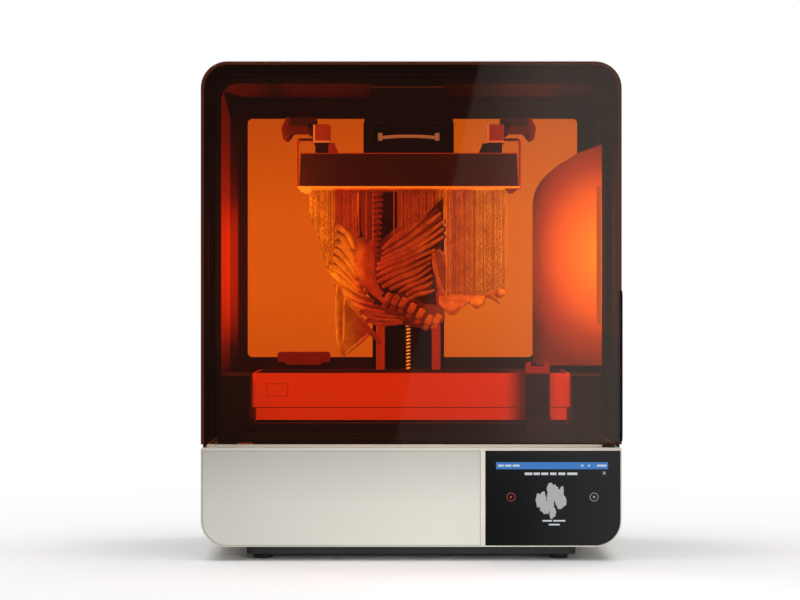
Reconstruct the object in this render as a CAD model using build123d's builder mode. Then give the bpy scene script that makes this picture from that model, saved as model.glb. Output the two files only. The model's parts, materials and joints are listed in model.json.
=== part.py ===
from build123d import *

import os

# Large desktop resin printer with a tilting amber cover, a Z tower, a resin tank and a mixer.
# Millimetres. +Z is up, the front faces -Y, and the origin is on the floor under the middle of the
# machine. Every sub-part is a separate closed solid, or a group of identical ones, in its own file.

os.makedirs("parts", exist_ok=True)

# Driving dimensions of the outer body
WIDTH, DEPTH, TOP = 664.0, 528.0, 788.0
FRONT, BACK = -DEPTH / 2, DEPTH / 2
CORNER_R = 42.0
FOOT_H, FOOT_R = 7.0, 14.5
FOOT_X, FOOT_Y = 236.0, 200.0
BODY_BOTTOM, BASE_TOP = 22.0, 176.0
SHEET = 3.0
GAP = 0.3
BEARING_CLEARANCE = 0.06

# Base front
RECESS, BORDER = 4.5, 2.0
FASCIA_RIGHT, SCREEN_LEFT, SCREEN_SETBACK = 109.0, 117.0, 0.6

# Cover
LID_BOTTOM, LID_REAR, LID_WALL = 183.5, 56.0, 5.0
HINGE_Y, HINGE_Z, HINGE_R, HINGE_PIN_R = 60.0, 785.0, 3.0, 1.5
HINGE_X, KNUCKLE, LEAF_T = 225.0, 40.0, 2.0
HOUSING_FRONT = 63.0

# Deck and chamber
RIM_TOP = 178.5
DECK_HALF, DECK_FRONT, DECK_TOP, DECK_REAR = 309.0, -205.0, 215.0, 250.0
LINER_FRONT_HALF, LINER_REAR_HALF = 318.0, 317.0
LINER_FRONT_TOP, LINER_REAR_TOP = 779.0, 761.0
LINER_FRONT_R, LINER_REAR_R = 34.0, 38.0
WINDOW_LEFT, WINDOW_RIGHT, WINDOW_LOW, WINDOW_HIGH = -283.0, 291.0, 312.0, 727.0
WINDOW_R = 8.0
NOTCH_LEFT, NOTCH_SIDE, NOTCH_HIGH = 214.0, 580.0, 640.0

# Mechanism
MECH_X = -3.5
TANK_X, TANK_HALF, TANK_FRONT, TANK_REAR = 0.4, 255.1, -170.0, 105.0
TANK_LOW, TANK_SEAM, TANK_HIGH = 219.0, 239.5, 294.0
TANK_WALL, TANK_STEP, TANK_PLAY = 5.0, 3.0, 1.5
PLATFORM_LOW, PLATFORM_HIGH = 595.0, 648.8
PLATFORM_HALF, PLATFORM_TOP_HALF = 176.8, 174.5
PLATFORM_FRONT, PLATFORM_REAR = -150.0, 55.0
FLEX_T, FLEX_HALF = 3.0, 179.0
SCREW_Y, SCREW_R = 150.0, 6.0
RAIL_X, RAIL_W = 47.5, 15.0
RAIL_FRONT, RAIL_BACK = 135.0, 144.0
TOWER_HALF, TOWER_BACK, TOWER_TOP = 61.0, 188.0, 748.0
HOLDER_HALF, HOLDER_FRONT, HOLDER_HIGH = 74.2, -62.0, 762.0
PLATE_FRONT, PLATE_BACK, PLATE_LOW, PLATE_HIGH = 112.0, 121.0, 652.0, 742.0
LEVER_X, LEVER_Z = 142.5, 681.0
LEVER_Y = -47.0
LOCK_Y, LOCK_Z, LOCK_X = -76.0, 699.0, 46.5
MIXER_X, MIXER_HALF = 203.0, 19.0
BELT_Y, BELT_Z, BELT_H, PULLEY_R, PULLEY_X = -230.0, 193.0, 6.0, 9.0, 264.0
RAIL_Y = -212.0

# Light unit and electronics inside the base
LIGHT_HALF, LIGHT_FRONT, LIGHT_REAR = 205.0, -172.0, 78.0
FAN_X, FAN_Y, FAN_R = -3.5, -47.0, 44.0

# Cartridge bay
BAY_LEFT, BAY_RIGHT, BAY_REAR_RIGHT = 212.7, 316.0, 313.0
BAY_FRONT, BAY_LOW = -20.0, 303.0
DOCK_LEFT, DOCK_RIGHT, DOCK_LOW, DOCK_HIGH, DOCK_FRONT = 220.5, 297.5, 327.0, 570.0, 60.0
SLOT_X = (240.0, 278.0)
CARTRIDGE_W = 34.4


def save(piece, name):
    """Labels a finished piece and writes its file."""
    piece.part.label = name
    export_step(piece.part, f"parts/{name}.step")


def facing(y):
    """A plane at depth y that faces the front: its x is the row's X and its y is the row's Z."""
    return Plane(origin=(0, y, 0), x_dir=(1, 0, 0), z_dir=(0, -1, 0))


def block(x, y, z, mode=Mode.ADD):
    """A box between two X, two Y and two Z values, inside the current part."""
    centre = ((x[0] + x[1]) / 2, (y[0] + y[1]) / 2, (z[0] + z[1]) / 2)
    with Locations(centre):
        Box(abs(x[1] - x[0]), abs(y[1] - y[0]), abs(z[1] - z[0]), mode=mode)


def plate_outline(left, right, low, high):
    """A rectangle between two X and two Z values, in a sketch that faces the front."""
    with Locations(((left + right) / 2, (low + high) / 2)):
        Rectangle(right - left, high - low)


def rod(x, y, z0, z1, radius, mode=Mode.ADD):
    """An upright round bar."""
    with Locations((x, y, (z0 + z1) / 2)):
        Cylinder(radius, z1 - z0, mode=mode)


def cross_rod(x0, x1, y, z, radius, mode=Mode.ADD):
    """A round bar along X."""
    with Locations(Location(((x0 + x1) / 2, y, z), (0, 90, 0))):
        Cylinder(radius, x1 - x0, mode=mode)


def deep_rod(x, y0, y1, z, radius, mode=Mode.ADD):
    """A round bar along Y."""
    with Locations(Location((x, (y0 + y1) / 2, z), (90, 0, 0))):
        Cylinder(radius, y1 - y0, mode=mode)


# ---------------------------------------------------------------- base

INNER_W = WIDTH - 2 * BORDER
INLET_X, SWITCH_X, PORTS_X, SOCKET_Z = 240.0, 276.0, 150.0, 74.0
INLET_W, INLET_H, SWITCH_W = 32.0, 26.0, 18.0
PORTS_W, PORTS_H = 60.0, 18.0
HOLD_Y, HOLD_Z, HOLD_T, HOLD_DEEP = 40.0, 116.0, 2.7, 26.0

with BuildPart() as base_shell:
    with BuildSketch(facing(BACK)) as outline:
        plate_outline(-WIDTH / 2, WIDTH / 2, BODY_BOTTOM, BASE_TOP)
        fillet(outline.vertices().group_by(Axis.Y)[0], CORNER_R)
    extrude(amount=DEPTH)
    fillet(base_shell.faces().sort_by(Axis.Y)[0].edges().group_by(Axis.Z)[0], 1.5)
    with BuildSketch(facing(BACK - SHEET)) as hollow:
        plate_outline(-WIDTH / 2 + SHEET, WIDTH / 2 - SHEET, BODY_BOTTOM + SHEET, BASE_TOP + 1)
        fillet(hollow.vertices().group_by(Axis.Y)[0], CORNER_R - SHEET)
    extrude(amount=DEPTH - SHEET - RECESS - SHEET, mode=Mode.SUBTRACT)
    with BuildSketch(facing(FRONT + RECESS)) as recess:
        plate_outline(-INNER_W / 2, INNER_W / 2, BODY_BOTTOM + BORDER, BASE_TOP - BORDER)
        fillet(recess.vertices().group_by(Axis.Y)[0], CORNER_R - BORDER)
        plate_rib = (FASCIA_RIGHT + GAP, SCREEN_LEFT - GAP)
        with Locations(((plate_rib[0] + plate_rib[1]) / 2, (BODY_BOTTOM + BASE_TOP) / 2)):
            Rectangle(plate_rib[1] - plate_rib[0], BASE_TOP - BODY_BOTTOM, mode=Mode.SUBTRACT)
    extrude(amount=RECESS + 1, mode=Mode.SUBTRACT)
    block((128, 318), (FRONT + RECESS - 1, FRONT + RECESS + SHEET + 1), (50, 166), Mode.SUBTRACT)
    for x, w, h in (
        ((INLET_X - INLET_W / 2 + SWITCH_X + SWITCH_W / 2) / 2, INLET_W / 2 + SWITCH_W / 2 + 36, INLET_H),
        (PORTS_X, PORTS_W, PORTS_H),
    ):
        block(
            (x - w / 2 - GAP, x + w / 2 + GAP),
            (BACK - SHEET - 1, BACK + 1),
            (SOCKET_Z - h / 2 - GAP, SOCKET_Z + h / 2 + GAP),
            Mode.SUBTRACT,
        )
    for side in (-1, 1):
        wall = side * WIDTH / 2
        block(
            (min(wall - side * 5, wall + side), max(wall - side * 5, wall + side)),
            (HOLD_Y - 60.5, HOLD_Y + 60.5),
            (HOLD_Z - 15.5, HOLD_Z + 15.5),
            Mode.SUBTRACT,
        )
    with BuildSketch(facing(BACK + 1)):
        with Locations((-140, 92)):
            with GridLocations(13, 60, 14, 1):
                SlotOverall(60, 6, rotation=90)
    extrude(amount=SHEET + 2, mode=Mode.SUBTRACT)
save(base_shell, "base_shell")

with BuildPart() as hand_holds:
    for side in (-1, 1):
        wall = side * WIDTH / 2
        rim = (min(wall, wall + side * HOLD_T), max(wall, wall + side * HOLD_T))
        cup = (min(wall, wall - side * HOLD_DEEP), max(wall, wall - side * HOLD_DEEP))
        block(rim, (HOLD_Y - 70, HOLD_Y + 70), (HOLD_Z - 24, HOLD_Z + 24))
        block(cup, (HOLD_Y - 60, HOLD_Y + 60), (HOLD_Z - 15, HOLD_Z + 15))
    fillet(hand_holds.edges().filter_by(Axis.X), 8)
    for side in (-1, 1):
        wall = side * WIDTH / 2
        reach = (wall - side * (HOLD_DEEP - 2.5), wall + side * (HOLD_T + 1))
        inside = (min(reach), max(reach))
        block(inside, (HOLD_Y - 57, HOLD_Y + 57), (HOLD_Z - 12, HOLD_Z + 12), Mode.SUBTRACT)
save(hand_holds, "hand_holds")

PANEL_GAP = BORDER + 0.4
with BuildPart() as front_fascia:
    with BuildSketch(facing(FRONT + RECESS)) as outline:
        plate_outline(
            -WIDTH / 2 + PANEL_GAP, FASCIA_RIGHT, BODY_BOTTOM + PANEL_GAP, BASE_TOP - PANEL_GAP
        )
        fillet(outline.vertices().group_by(Axis.Y)[0].sort_by(Axis.X)[0], CORNER_R - PANEL_GAP)
    extrude(amount=RECESS)
    chamfer(front_fascia.faces().sort_by(Axis.Y)[0].edges(), 0.8)
save(front_fascia, "front_fascia")

with BuildPart() as screen_glass:
    with BuildSketch(facing(FRONT + RECESS)) as outline:
        plate_outline(
            SCREEN_LEFT, WIDTH / 2 - PANEL_GAP, BODY_BOTTOM + PANEL_GAP, BASE_TOP - PANEL_GAP
        )
        fillet(outline.vertices().group_by(Axis.Y)[0].sort_by(Axis.X)[-1], CORNER_R - PANEL_GAP)
    extrude(amount=RECESS - SCREEN_SETBACK)
    chamfer(screen_glass.faces().sort_by(Axis.Y)[0].edges(), 0.6)
    block((130, 316), (FRONT + RECESS, FRONT + RECESS + 8), (52, 164))
    block((150, 296), (FRONT + RECESS + 8, FRONT + RECESS + 14), (60, 126))
save(screen_glass, "screen_glass")

PLINTH_HALF_X, PLINTH_HALF_Y = 262.0, 219.0
with BuildPart() as plinth:
    block((-PLINTH_HALF_X, PLINTH_HALF_X), (-PLINTH_HALF_Y, PLINTH_HALF_Y), (FOOT_H, BODY_BOTTOM))
    fillet(plinth.edges().filter_by(Axis.Z), 12)
    block(
        (-PLINTH_HALF_X + 8, PLINTH_HALF_X - 8),
        (-PLINTH_HALF_Y + 8, PLINTH_HALF_Y - 8),
        (FOOT_H + 4, BODY_BOTTOM + 1),
        Mode.SUBTRACT,
    )
    chamfer(plinth.faces().sort_by(Axis.Z)[0].edges(), 1.5)
save(plinth, "plinth")

with BuildPart() as rubber_feet:
    with GridLocations(2 * FOOT_X, 2 * FOOT_Y, 2, 2):
        Cylinder(FOOT_R, FOOT_H, align=(Align.CENTER, Align.CENTER, Align.MIN))
    fillet(rubber_feet.edges().filter_by(GeomType.CIRCLE).group_by(Axis.Z)[0], 1.5)
save(rubber_feet, "rubber_feet")

LIP_INSET, LIP_T = 9.0, 3.0
with BuildPart() as base_rim:
    block((-WIDTH / 2 + 2, WIDTH / 2 - 2), (FRONT + 2, BACK - 2), (BASE_TOP, RIM_TOP))
    block(
        (-WIDTH / 2 + LIP_INSET, WIDTH / 2 - LIP_INSET),
        (FRONT + LIP_INSET, LID_REAR),
        (RIM_TOP, LID_BOTTOM - GAP),
    )
    block(
        (-WIDTH / 2 + LIP_INSET + LIP_T, WIDTH / 2 - LIP_INSET - LIP_T),
        (FRONT + LIP_INSET + LIP_T, LID_REAR + 1),
        (RIM_TOP, LID_BOTTOM),
        Mode.SUBTRACT,
    )
    block(
        (-DECK_HALF - GAP, DECK_HALF + GAP),
        (DECK_FRONT - GAP, DECK_REAR + GAP),
        (BASE_TOP - 1, RIM_TOP + 1),
        Mode.SUBTRACT,
    )
    with Locations((PULLEY_X, BELT_Y, RIM_TOP)):
        Cylinder(6, 20, mode=Mode.SUBTRACT)
    block((-PULLEY_X - 12, -PULLEY_X + 12), (BELT_Y - 12, BELT_Y + 12), (BASE_TOP, 186))
    rod(-PULLEY_X, BELT_Y, 180.5, 190, 2.5 + BEARING_CLEARANCE, Mode.SUBTRACT)
save(base_rim, "base_rim")

with BuildPart() as lid_bumper:
    block((302, 322), (FRONT + 2.5, FRONT + 8.5), (RIM_TOP, LID_BOTTOM - GAP))
    fillet(lid_bumper.edges().filter_by(Axis.Z), 1.5)
save(lid_bumper, "lid_bumper")

# ---------------------------------------------------------------- deck and cheeks

MASK_HALF, MASK_FRONT, MASK_REAR = 190.0, -154.0, 60.0
FILM_T = 0.6
with BuildPart() as deck:
    block((-DECK_HALF, DECK_HALF), (DECK_FRONT, DECK_REAR), (BASE_TOP - 4, DECK_TOP))
    fillet(deck.edges().filter_by(Axis.Z).group_by(Axis.Y)[0], 10)
    block(
        (-DECK_HALF + SHEET, DECK_HALF - SHEET),
        (DECK_FRONT + SHEET, DECK_REAR - SHEET),
        (BASE_TOP - 5, DECK_TOP - SHEET),
        Mode.SUBTRACT,
    )
    block(
        (MECH_X - MASK_HALF, MECH_X + MASK_HALF),
        (MASK_FRONT, MASK_REAR),
        (DECK_TOP - SHEET - 1, DECK_TOP + 1),
        Mode.SUBTRACT,
    )
    rod(MECH_X, SCREW_Y, DECK_TOP - SHEET - 1, DECK_TOP + 1, 14, Mode.SUBTRACT)
    stand_y = (TANK_FRONT + TANK_REAR) / 2
    with Locations((TANK_X, stand_y, DECK_TOP)):
        with GridLocations(2 * TANK_HALF - 24, TANK_REAR - TANK_FRONT - 60, 2, 2):
            Cylinder(7, TANK_LOW - FILM_T - DECK_TOP, align=(Align.CENTER, Align.CENTER, Align.MIN))
save(deck, "deck")

CHEEK_FRONT, CHEEK_REAR, CHEEK_HIGH = -190.0, 60.0, 291.0
with BuildPart() as deck_cheeks:
    for inner, outer in (
        (TANK_X - TANK_HALF - TANK_PLAY, -DECK_HALF),
        (TANK_X + TANK_HALF + TANK_PLAY, DECK_HALF),
    ):
        low, high = min(inner, outer), max(inner, outer)
        block((low, high), (CHEEK_FRONT, CHEEK_REAR), (DECK_TOP, CHEEK_HIGH))
    fillet(deck_cheeks.edges().filter_by(Axis.Z).group_by(Axis.Y)[0], 6)
    chamfer(deck_cheeks.faces().group_by(Axis.Z)[-1].edges(), 1)
    for inner, outer in (
        (TANK_X - TANK_HALF - TANK_PLAY, -DECK_HALF),
        (TANK_X + TANK_HALF + TANK_PLAY, DECK_HALF),
    ):
        low, high = min(inner, outer) + SHEET, max(inner, outer) - SHEET
        block(
            (low, high),
            (CHEEK_FRONT + SHEET, CHEEK_REAR - SHEET),
            (DECK_TOP - 1, CHEEK_HIGH - SHEET),
            Mode.SUBTRACT,
        )
save(deck_cheeks, "deck_cheeks")

# ---------------------------------------------------------------- light unit under the tank

LIGHT_LOW, LIGHT_HIGH, MASK_T = 96.0, 206.0, 6.0
with BuildPart() as light_housing:
    block(
        (MECH_X - LIGHT_HALF, MECH_X + LIGHT_HALF), (LIGHT_FRONT, LIGHT_REAR), (LIGHT_LOW, LIGHT_HIGH)
    )
    block(
        (MECH_X - LIGHT_HALF + 4, MECH_X + LIGHT_HALF - 4),
        (LIGHT_FRONT + 4, LIGHT_REAR - 4),
        (LIGHT_LOW - 1, LIGHT_HIGH - 4),
        Mode.SUBTRACT,
    )
    block(
        (MECH_X - MASK_HALF + 12, MECH_X + MASK_HALF - 12),
        (MASK_FRONT + 12, MASK_REAR - 12),
        (LIGHT_HIGH - 5, LIGHT_HIGH + 1),
        Mode.SUBTRACT,
    )
    fillet(light_housing.edges().filter_by(Axis.Z).group_by(Axis.X)[0], 1)
save(light_housing, "light_housing")

with BuildPart() as mask_display:
    block(
        (MECH_X - MASK_HALF + GAP, MECH_X + MASK_HALF - GAP),
        (MASK_FRONT + GAP, MASK_REAR - GAP),
        (LIGHT_HIGH, LIGHT_HIGH + MASK_T),
    )
    chamfer(mask_display.faces().sort_by(Axis.Z)[-1].edges(), 1)
save(mask_display, "mask_display")

BOARD_LOW = 110.0
with BuildPart() as led_array:
    block(
        (MECH_X - 180, MECH_X + 180), (FAN_Y - 102, FAN_Y + 102), (BOARD_LOW, BOARD_LOW + 2)
    )
    with Locations((MECH_X, FAN_Y, BOARD_LOW + 2)):
        with GridLocations(32, 32, 11, 6):
            Box(14, 14, 3, align=(Align.CENTER, Align.CENTER, Align.MIN))
save(led_array, "led_array")

SINK_LOW = 78.0
with BuildPart() as heat_sink:
    block(
        (MECH_X - 176, MECH_X + 176), (FAN_Y - 98, FAN_Y + 98), (BOARD_LOW - 6, BOARD_LOW)
    )
    with Locations((MECH_X, FAN_Y, BOARD_LOW - 6)):
        with GridLocations(13.5, 1, 27, 1):
            Box(2, 196, BOARD_LOW - 6 - SINK_LOW, align=(Align.CENTER, Align.CENTER, Align.MAX))
save(heat_sink, "heat_sink")

FAN_LOW, FAN_HIGH, FAN_HALF = 50.0, 75.0, 48.0
BOLT_PITCH, BOLT_R, HUB_R, BLADES, BLADE_TILT = 82.0, 2.2, 16.0, 7, 38.0
with BuildPart() as fan_frame:
    block((FAN_X - FAN_HALF, FAN_X + FAN_HALF), (FAN_Y - FAN_HALF, FAN_Y + FAN_HALF), (FAN_LOW, FAN_HIGH))
    fillet(fan_frame.edges().filter_by(Axis.Z), 6)
    rod(FAN_X, FAN_Y, FAN_LOW - 1, FAN_HIGH + 1, FAN_R + 1.5, Mode.SUBTRACT)
    for turn in range(4):
        with Locations(Location((FAN_X, FAN_Y, FAN_LOW + 1.5), (0, 0, 45 + 90 * turn))):
            with Locations((28, 0, 0)):
                Box(38, 4, 3)
    rod(FAN_X, FAN_Y, FAN_LOW, FAN_LOW + 3, 14)
    with Locations((FAN_X, FAN_Y, FAN_LOW)):
        with GridLocations(BOLT_PITCH, BOLT_PITCH, 2, 2):
            Cylinder(BOLT_R, 60, mode=Mode.SUBTRACT)
save(fan_frame, "fan_frame")

with BuildPart() as fan_rotor:
    rod(FAN_X, FAN_Y, FAN_LOW + 4, FAN_HIGH - 3, HUB_R)
    fillet(fan_rotor.edges().group_by(Axis.Z)[-1], 2)
    for turn in range(BLADES):
        with Locations(Location((FAN_X, FAN_Y, FAN_LOW + 12), (0, 0, turn * 360 / BLADES))):
            with Locations(Location((29, 0, 0), (BLADE_TILT, 0, 0))):
                Box(29, 16, 1.8)
save(fan_rotor, "fan_rotor")

POWER_X, POWER_Y, POWER_TOP = (172.0, 282.0), (20.0, 235.0), 72.0
SLIT_PITCH_X, SLIT_PITCH_Y, SLIT_L, SLIT_W = 16.0, 9.0, 10.0, 4.0
with BuildPart() as power_supply:
    block(POWER_X, POWER_Y, (BODY_BOTTOM + SHEET, POWER_TOP))
    fillet(power_supply.edges().filter_by(Axis.Y), 2)
    with BuildSketch(Plane.XY.offset(POWER_TOP)):
        with Locations((sum(POWER_X) / 2, sum(POWER_Y) / 2)):
            with GridLocations(SLIT_PITCH_X, SLIT_PITCH_Y, 5, 16):
                RectangleRounded(SLIT_L, SLIT_W, 1.9)
    extrude(amount=-2, mode=Mode.SUBTRACT)
save(power_supply, "power_supply")

BOARD_X, BOARD_Y, BOARD_Z, BOARD_T = (-288.0, -188.0), (-60.0, 200.0), 40.0, 1.6
BOARD_LEG_R, BOARD_EDGE = 3.0, 5.0
CHIPS = (
    (-238, 0, 40, 40, 12),
    (-263, 70, 20, 34, 9),
    (-216, 90, 26, 18, 6),
    (-238, 140, 54, 22, 14),
    (-210, -30, 18, 30, 10),
    (-268, -35, 14, 26, 16),
)
with BuildPart() as main_board:
    block(BOARD_X, BOARD_Y, (BOARD_Z, BOARD_Z + BOARD_T))
    for x, y, width, depth, height in CHIPS:
        with Locations((x, y, BOARD_Z + BOARD_T)):
            Box(width, depth, height, align=(Align.CENTER, Align.CENTER, Align.MIN))
    leg_pitch_x = BOARD_X[1] - BOARD_X[0] - 2 * BOARD_EDGE
    leg_pitch_y = BOARD_Y[1] - BOARD_Y[0] - 2 * BOARD_EDGE
    leg_h = BOARD_Z - BODY_BOTTOM - SHEET
    with Locations((sum(BOARD_X) / 2, sum(BOARD_Y) / 2, BOARD_Z)):
        with GridLocations(leg_pitch_x, leg_pitch_y, 2, 2):
            Cylinder(BOARD_LEG_R, leg_h, align=(Align.CENTER, Align.CENTER, Align.MAX))
save(main_board, "main_board")

# ---------------------------------------------------------------- sockets at the back of the base

ROCKER_Y = BACK - 6.0
MOUTH_W, MOUTH_H, MOUTH_DEEP, MOUTH_CORNER = 24.0, 17.0, 19.0, 4.0
PINS = ((-7.0, -2.0), (0.0, 3.0), (7.0, -2.0))
with BuildPart() as mains_inlet:
    block(
        (INLET_X - INLET_W / 2, SWITCH_X + SWITCH_W / 2),
        (BACK - 24, BACK),
        (SOCKET_Z - INLET_H / 2, SOCKET_Z + INLET_H / 2),
    )
    chamfer(mains_inlet.faces().sort_by(Axis.Y)[-1].edges(), 1)
    block(
        (SWITCH_X - 6.5, SWITCH_X + 6.5),
        (BACK - 17, BACK + 1),
        (SOCKET_Z - 11, SOCKET_Z + 11),
        Mode.SUBTRACT,
    )
    with BuildSketch(facing(BACK + 1)) as mouth:
        with Locations((INLET_X, SOCKET_Z)):
            Rectangle(MOUTH_W, MOUTH_H)
        chamfer(mouth.vertices().group_by(Axis.Y)[-1], MOUTH_CORNER)
    extrude(amount=MOUTH_DEEP, mode=Mode.SUBTRACT)
    for x, z in PINS:
        block(
            (INLET_X + x - 1, INLET_X + x + 1),
            (BACK - MOUTH_DEEP, BACK - 8),
            (SOCKET_Z + z - 2, SOCKET_Z + z + 2),
        )
save(mains_inlet, "mains_inlet")

PORT_MOUTHS = ((-20.0, 14.0, 12.0), (2.0, 13.0, 6.5), (20.0, 10.0, 9.0))
PORT_CUTS = (-PORTS_W / 2, -8.0, 11.5, PORTS_W / 2)
with BuildPart() as data_ports:
    for low, high in zip(PORT_CUTS, PORT_CUTS[1:]):
        block(
            (PORTS_X + low, PORTS_X + high - GAP),
            (BACK - 18, BACK - 1),
            (SOCKET_Z - PORTS_H / 2, SOCKET_Z + PORTS_H / 2),
        )
    for offset, width, height in PORT_MOUTHS:
        block(
            (PORTS_X + offset - width / 2, PORTS_X + offset + width / 2),
            (BACK - 15, BACK),
            (SOCKET_Z - height / 2, SOCKET_Z + height / 2),
            Mode.SUBTRACT,
        )
save(data_ports, "data_ports")

with BuildPart() as power_rocker:
    with BuildSketch(Plane.YZ.offset(SWITCH_X - 6)):
        with BuildLine():
            Polyline(
                (ROCKER_Y - 4, SOCKET_Z - 6),
                (ROCKER_Y - 4, SOCKET_Z + 6),
                (BACK - 1.5, SOCKET_Z + 9.5),
                (BACK - 2.6, SOCKET_Z),
                (BACK + 0.0, SOCKET_Z - 9.5),
                close=True,
            )
        make_face()
    extrude(amount=12)
save(power_rocker, "power_rocker")

# ---------------------------------------------------------------- rear housing and chamber


def window_outline(back, grow, corner):
    """The window's outline at one depth, grown all round: it leaves out the corner behind the bay."""
    with BuildSketch(facing(back), mode=Mode.PRIVATE) as window:
        Polygon(
            (WINDOW_LEFT - grow, WINDOW_LOW - grow),
            (NOTCH_LEFT + grow, WINDOW_LOW - grow),
            (NOTCH_LEFT + grow, NOTCH_SIDE - grow),
            (WINDOW_RIGHT + grow, NOTCH_HIGH - grow),
            (WINDOW_RIGHT + grow, WINDOW_HIGH + grow),
            (WINDOW_LEFT - grow, WINDOW_HIGH + grow),
            align=None,
        )
        fillet(window.vertices(), corner)
    return window.sketch


BAY_MOUTH = ((DOCK_LEFT + 1.4, DOCK_RIGHT - 1.4), (DOCK_LOW + 2.0, DOCK_HIGH - 2.0))
with BuildPart() as rear_housing:
    with BuildSketch(facing(BACK)) as outline:
        plate_outline(-WIDTH / 2, WIDTH / 2, RIM_TOP, TOP)
        fillet(outline.vertices().group_by(Axis.Y)[-1], CORNER_R)
    extrude(amount=BACK - HOUSING_FRONT)
    fillet(rear_housing.faces().sort_by(Axis.Y)[-1].edges().group_by(Axis.Z)[-1], 4)
    with BuildSketch(facing(BACK - SHEET)) as hollow:
        plate_outline(-WIDTH / 2 + SHEET, WIDTH / 2 - SHEET, RIM_TOP - 1, TOP - SHEET)
        fillet(hollow.vertices().group_by(Axis.Y)[-1], CORNER_R - SHEET)
    extrude(amount=BACK - HOUSING_FRONT, mode=Mode.SUBTRACT)
    extrude(window_outline(BACK + 1, 0, WINDOW_R), amount=SHEET + 2, mode=Mode.SUBTRACT)
    block(BAY_MOUTH[0], (BACK - SHEET - 1, BACK + 1), BAY_MOUTH[1], Mode.SUBTRACT)
    with BuildSketch(facing(BACK + 1)):
        with Locations((0, 246)):
            with GridLocations(16, 1, 26, 1):
                SlotOverall(40, 6, rotation=90)
    extrude(amount=SHEET + 2, mode=Mode.SUBTRACT)
    for x in (-HINGE_X, HINGE_X):
        block(
            (x - KNUCKLE / 2 - 1, x + KNUCKLE / 2 + 1),
            (HOUSING_FRONT - 1, HOUSING_FRONT + 1),
            (TOP - SHEET - 1, TOP + 1),
            Mode.SUBTRACT,
        )
save(rear_housing, "rear_housing")


def liner_section(y, half, high, corner, low):
    """One cross-section of the chamber liner."""
    with BuildSketch(facing(y), mode=Mode.PRIVATE) as section:
        plate_outline(-half, half, low, high)
        fillet(section.vertices().group_by(Axis.Y)[-1], corner)
    return section.sketch


LINER_BACK = 253.0


def liner_ends(inset, front, back):
    """The front and rear cross-sections of the liner, moved inwards by one wall for its inside."""
    low = DECK_TOP - (1 if inset else 0)
    return (
        liner_section(
            front, LINER_FRONT_HALF - inset, LINER_FRONT_TOP - inset, LINER_FRONT_R - inset, low
        ),
        liner_section(
            back, LINER_REAR_HALF - inset, LINER_REAR_TOP - inset, LINER_REAR_R - inset, low
        ),
    )


with BuildPart() as chamber_liner:
    loft(liner_ends(0, HOUSING_FRONT, LINER_BACK))
    loft(liner_ends(SHEET, HOUSING_FRONT - 0.01, LINER_BACK - SHEET), mode=Mode.SUBTRACT)
    extrude(window_outline(LINER_BACK + 1, 0, WINDOW_R), amount=SHEET + 2, mode=Mode.SUBTRACT)
    block(BAY_MOUTH[0], (LINER_BACK - SHEET - 1, LINER_BACK + 1), BAY_MOUTH[1], Mode.SUBTRACT)
save(chamber_liner, "chamber_liner")

PANE_FRONT, PANE_BACK = 253.0, 258.0
with BuildPart() as rear_window:
    extrude(window_outline(PANE_BACK, 7, 4), amount=PANE_BACK - PANE_FRONT)
save(rear_window, "rear_window")


# ---------------------------------------------------------------- cartridge bay at the right


BAY_SWEEP, BAY_SHOULDER, BAY_SIDE_TOP, BAY_TOP = 62.0, 75.0, 616.5, 669.0
BAY_KNEE, BAY_KNEE_X, BAY_KNEE_Z = 45.0, 278.0, 655.0


def bay_plan(inset):
    """The bay cover's plan, with its front left corner swept round."""
    rear = LINER_BACK - SHEET + (1 if inset else 0)
    with BuildSketch(Plane.XY.offset(BAY_LOW + inset), mode=Mode.PRIVATE) as plan:
        Polygon(
            (BAY_LEFT + inset, rear),
            (BAY_LEFT + inset, BAY_FRONT + inset),
            (BAY_RIGHT - inset, BAY_FRONT + inset),
            (BAY_RIGHT - inset, HOUSING_FRONT - 1 - inset),
            (BAY_REAR_RIGHT - inset, HOUSING_FRONT - 1 - inset),
            (BAY_REAR_RIGHT - inset, rear),
            align=None,
        )
        fillet(plan.vertices().group_by(Axis.Y)[0].sort_by(Axis.X)[0], BAY_SWEEP - inset)
    return plan.sketch


def bay_front_view(inset):
    """The bay cover's sloping front view, which trims its top."""
    with BuildSketch(facing(LINER_BACK + 5), mode=Mode.PRIVATE) as view:
        Polygon(
            (BAY_LEFT + inset, BAY_LOW + inset),
            (BAY_LEFT + inset, BAY_SIDE_TOP - inset),
            (BAY_KNEE_X, BAY_KNEE_Z - inset),
            (BAY_RIGHT - inset, BAY_TOP - inset),
            (BAY_RIGHT - inset, BAY_LOW + inset),
            align=None,
        )
        fillet(view.vertices().group_by(Axis.X)[0].sort_by(Axis.Y)[-1], BAY_SHOULDER - inset)
        fillet(view.vertices().sort_by(Axis.Y)[-2], BAY_KNEE - inset)
    return view.sketch


with BuildPart() as bay_hollow:
    extrude(bay_plan(SHEET), amount=400)
    extrude(bay_front_view(SHEET), amount=400, mode=Mode.INTERSECT)

NOZZLE_X, NOZZLE_Y, NOZZLE_R = 240.0, 76.0, 5.0
with BuildPart() as bay_cover:
    extrude(bay_plan(0), amount=400)
    extrude(bay_front_view(0), amount=400, mode=Mode.INTERSECT)
    add(bay_hollow.part, mode=Mode.SUBTRACT)
    rod(NOZZLE_X, NOZZLE_Y, BAY_LOW - 1, BAY_LOW + SHEET + 1, NOZZLE_R + 1, Mode.SUBTRACT)
save(bay_cover, "bay_cover")

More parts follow.
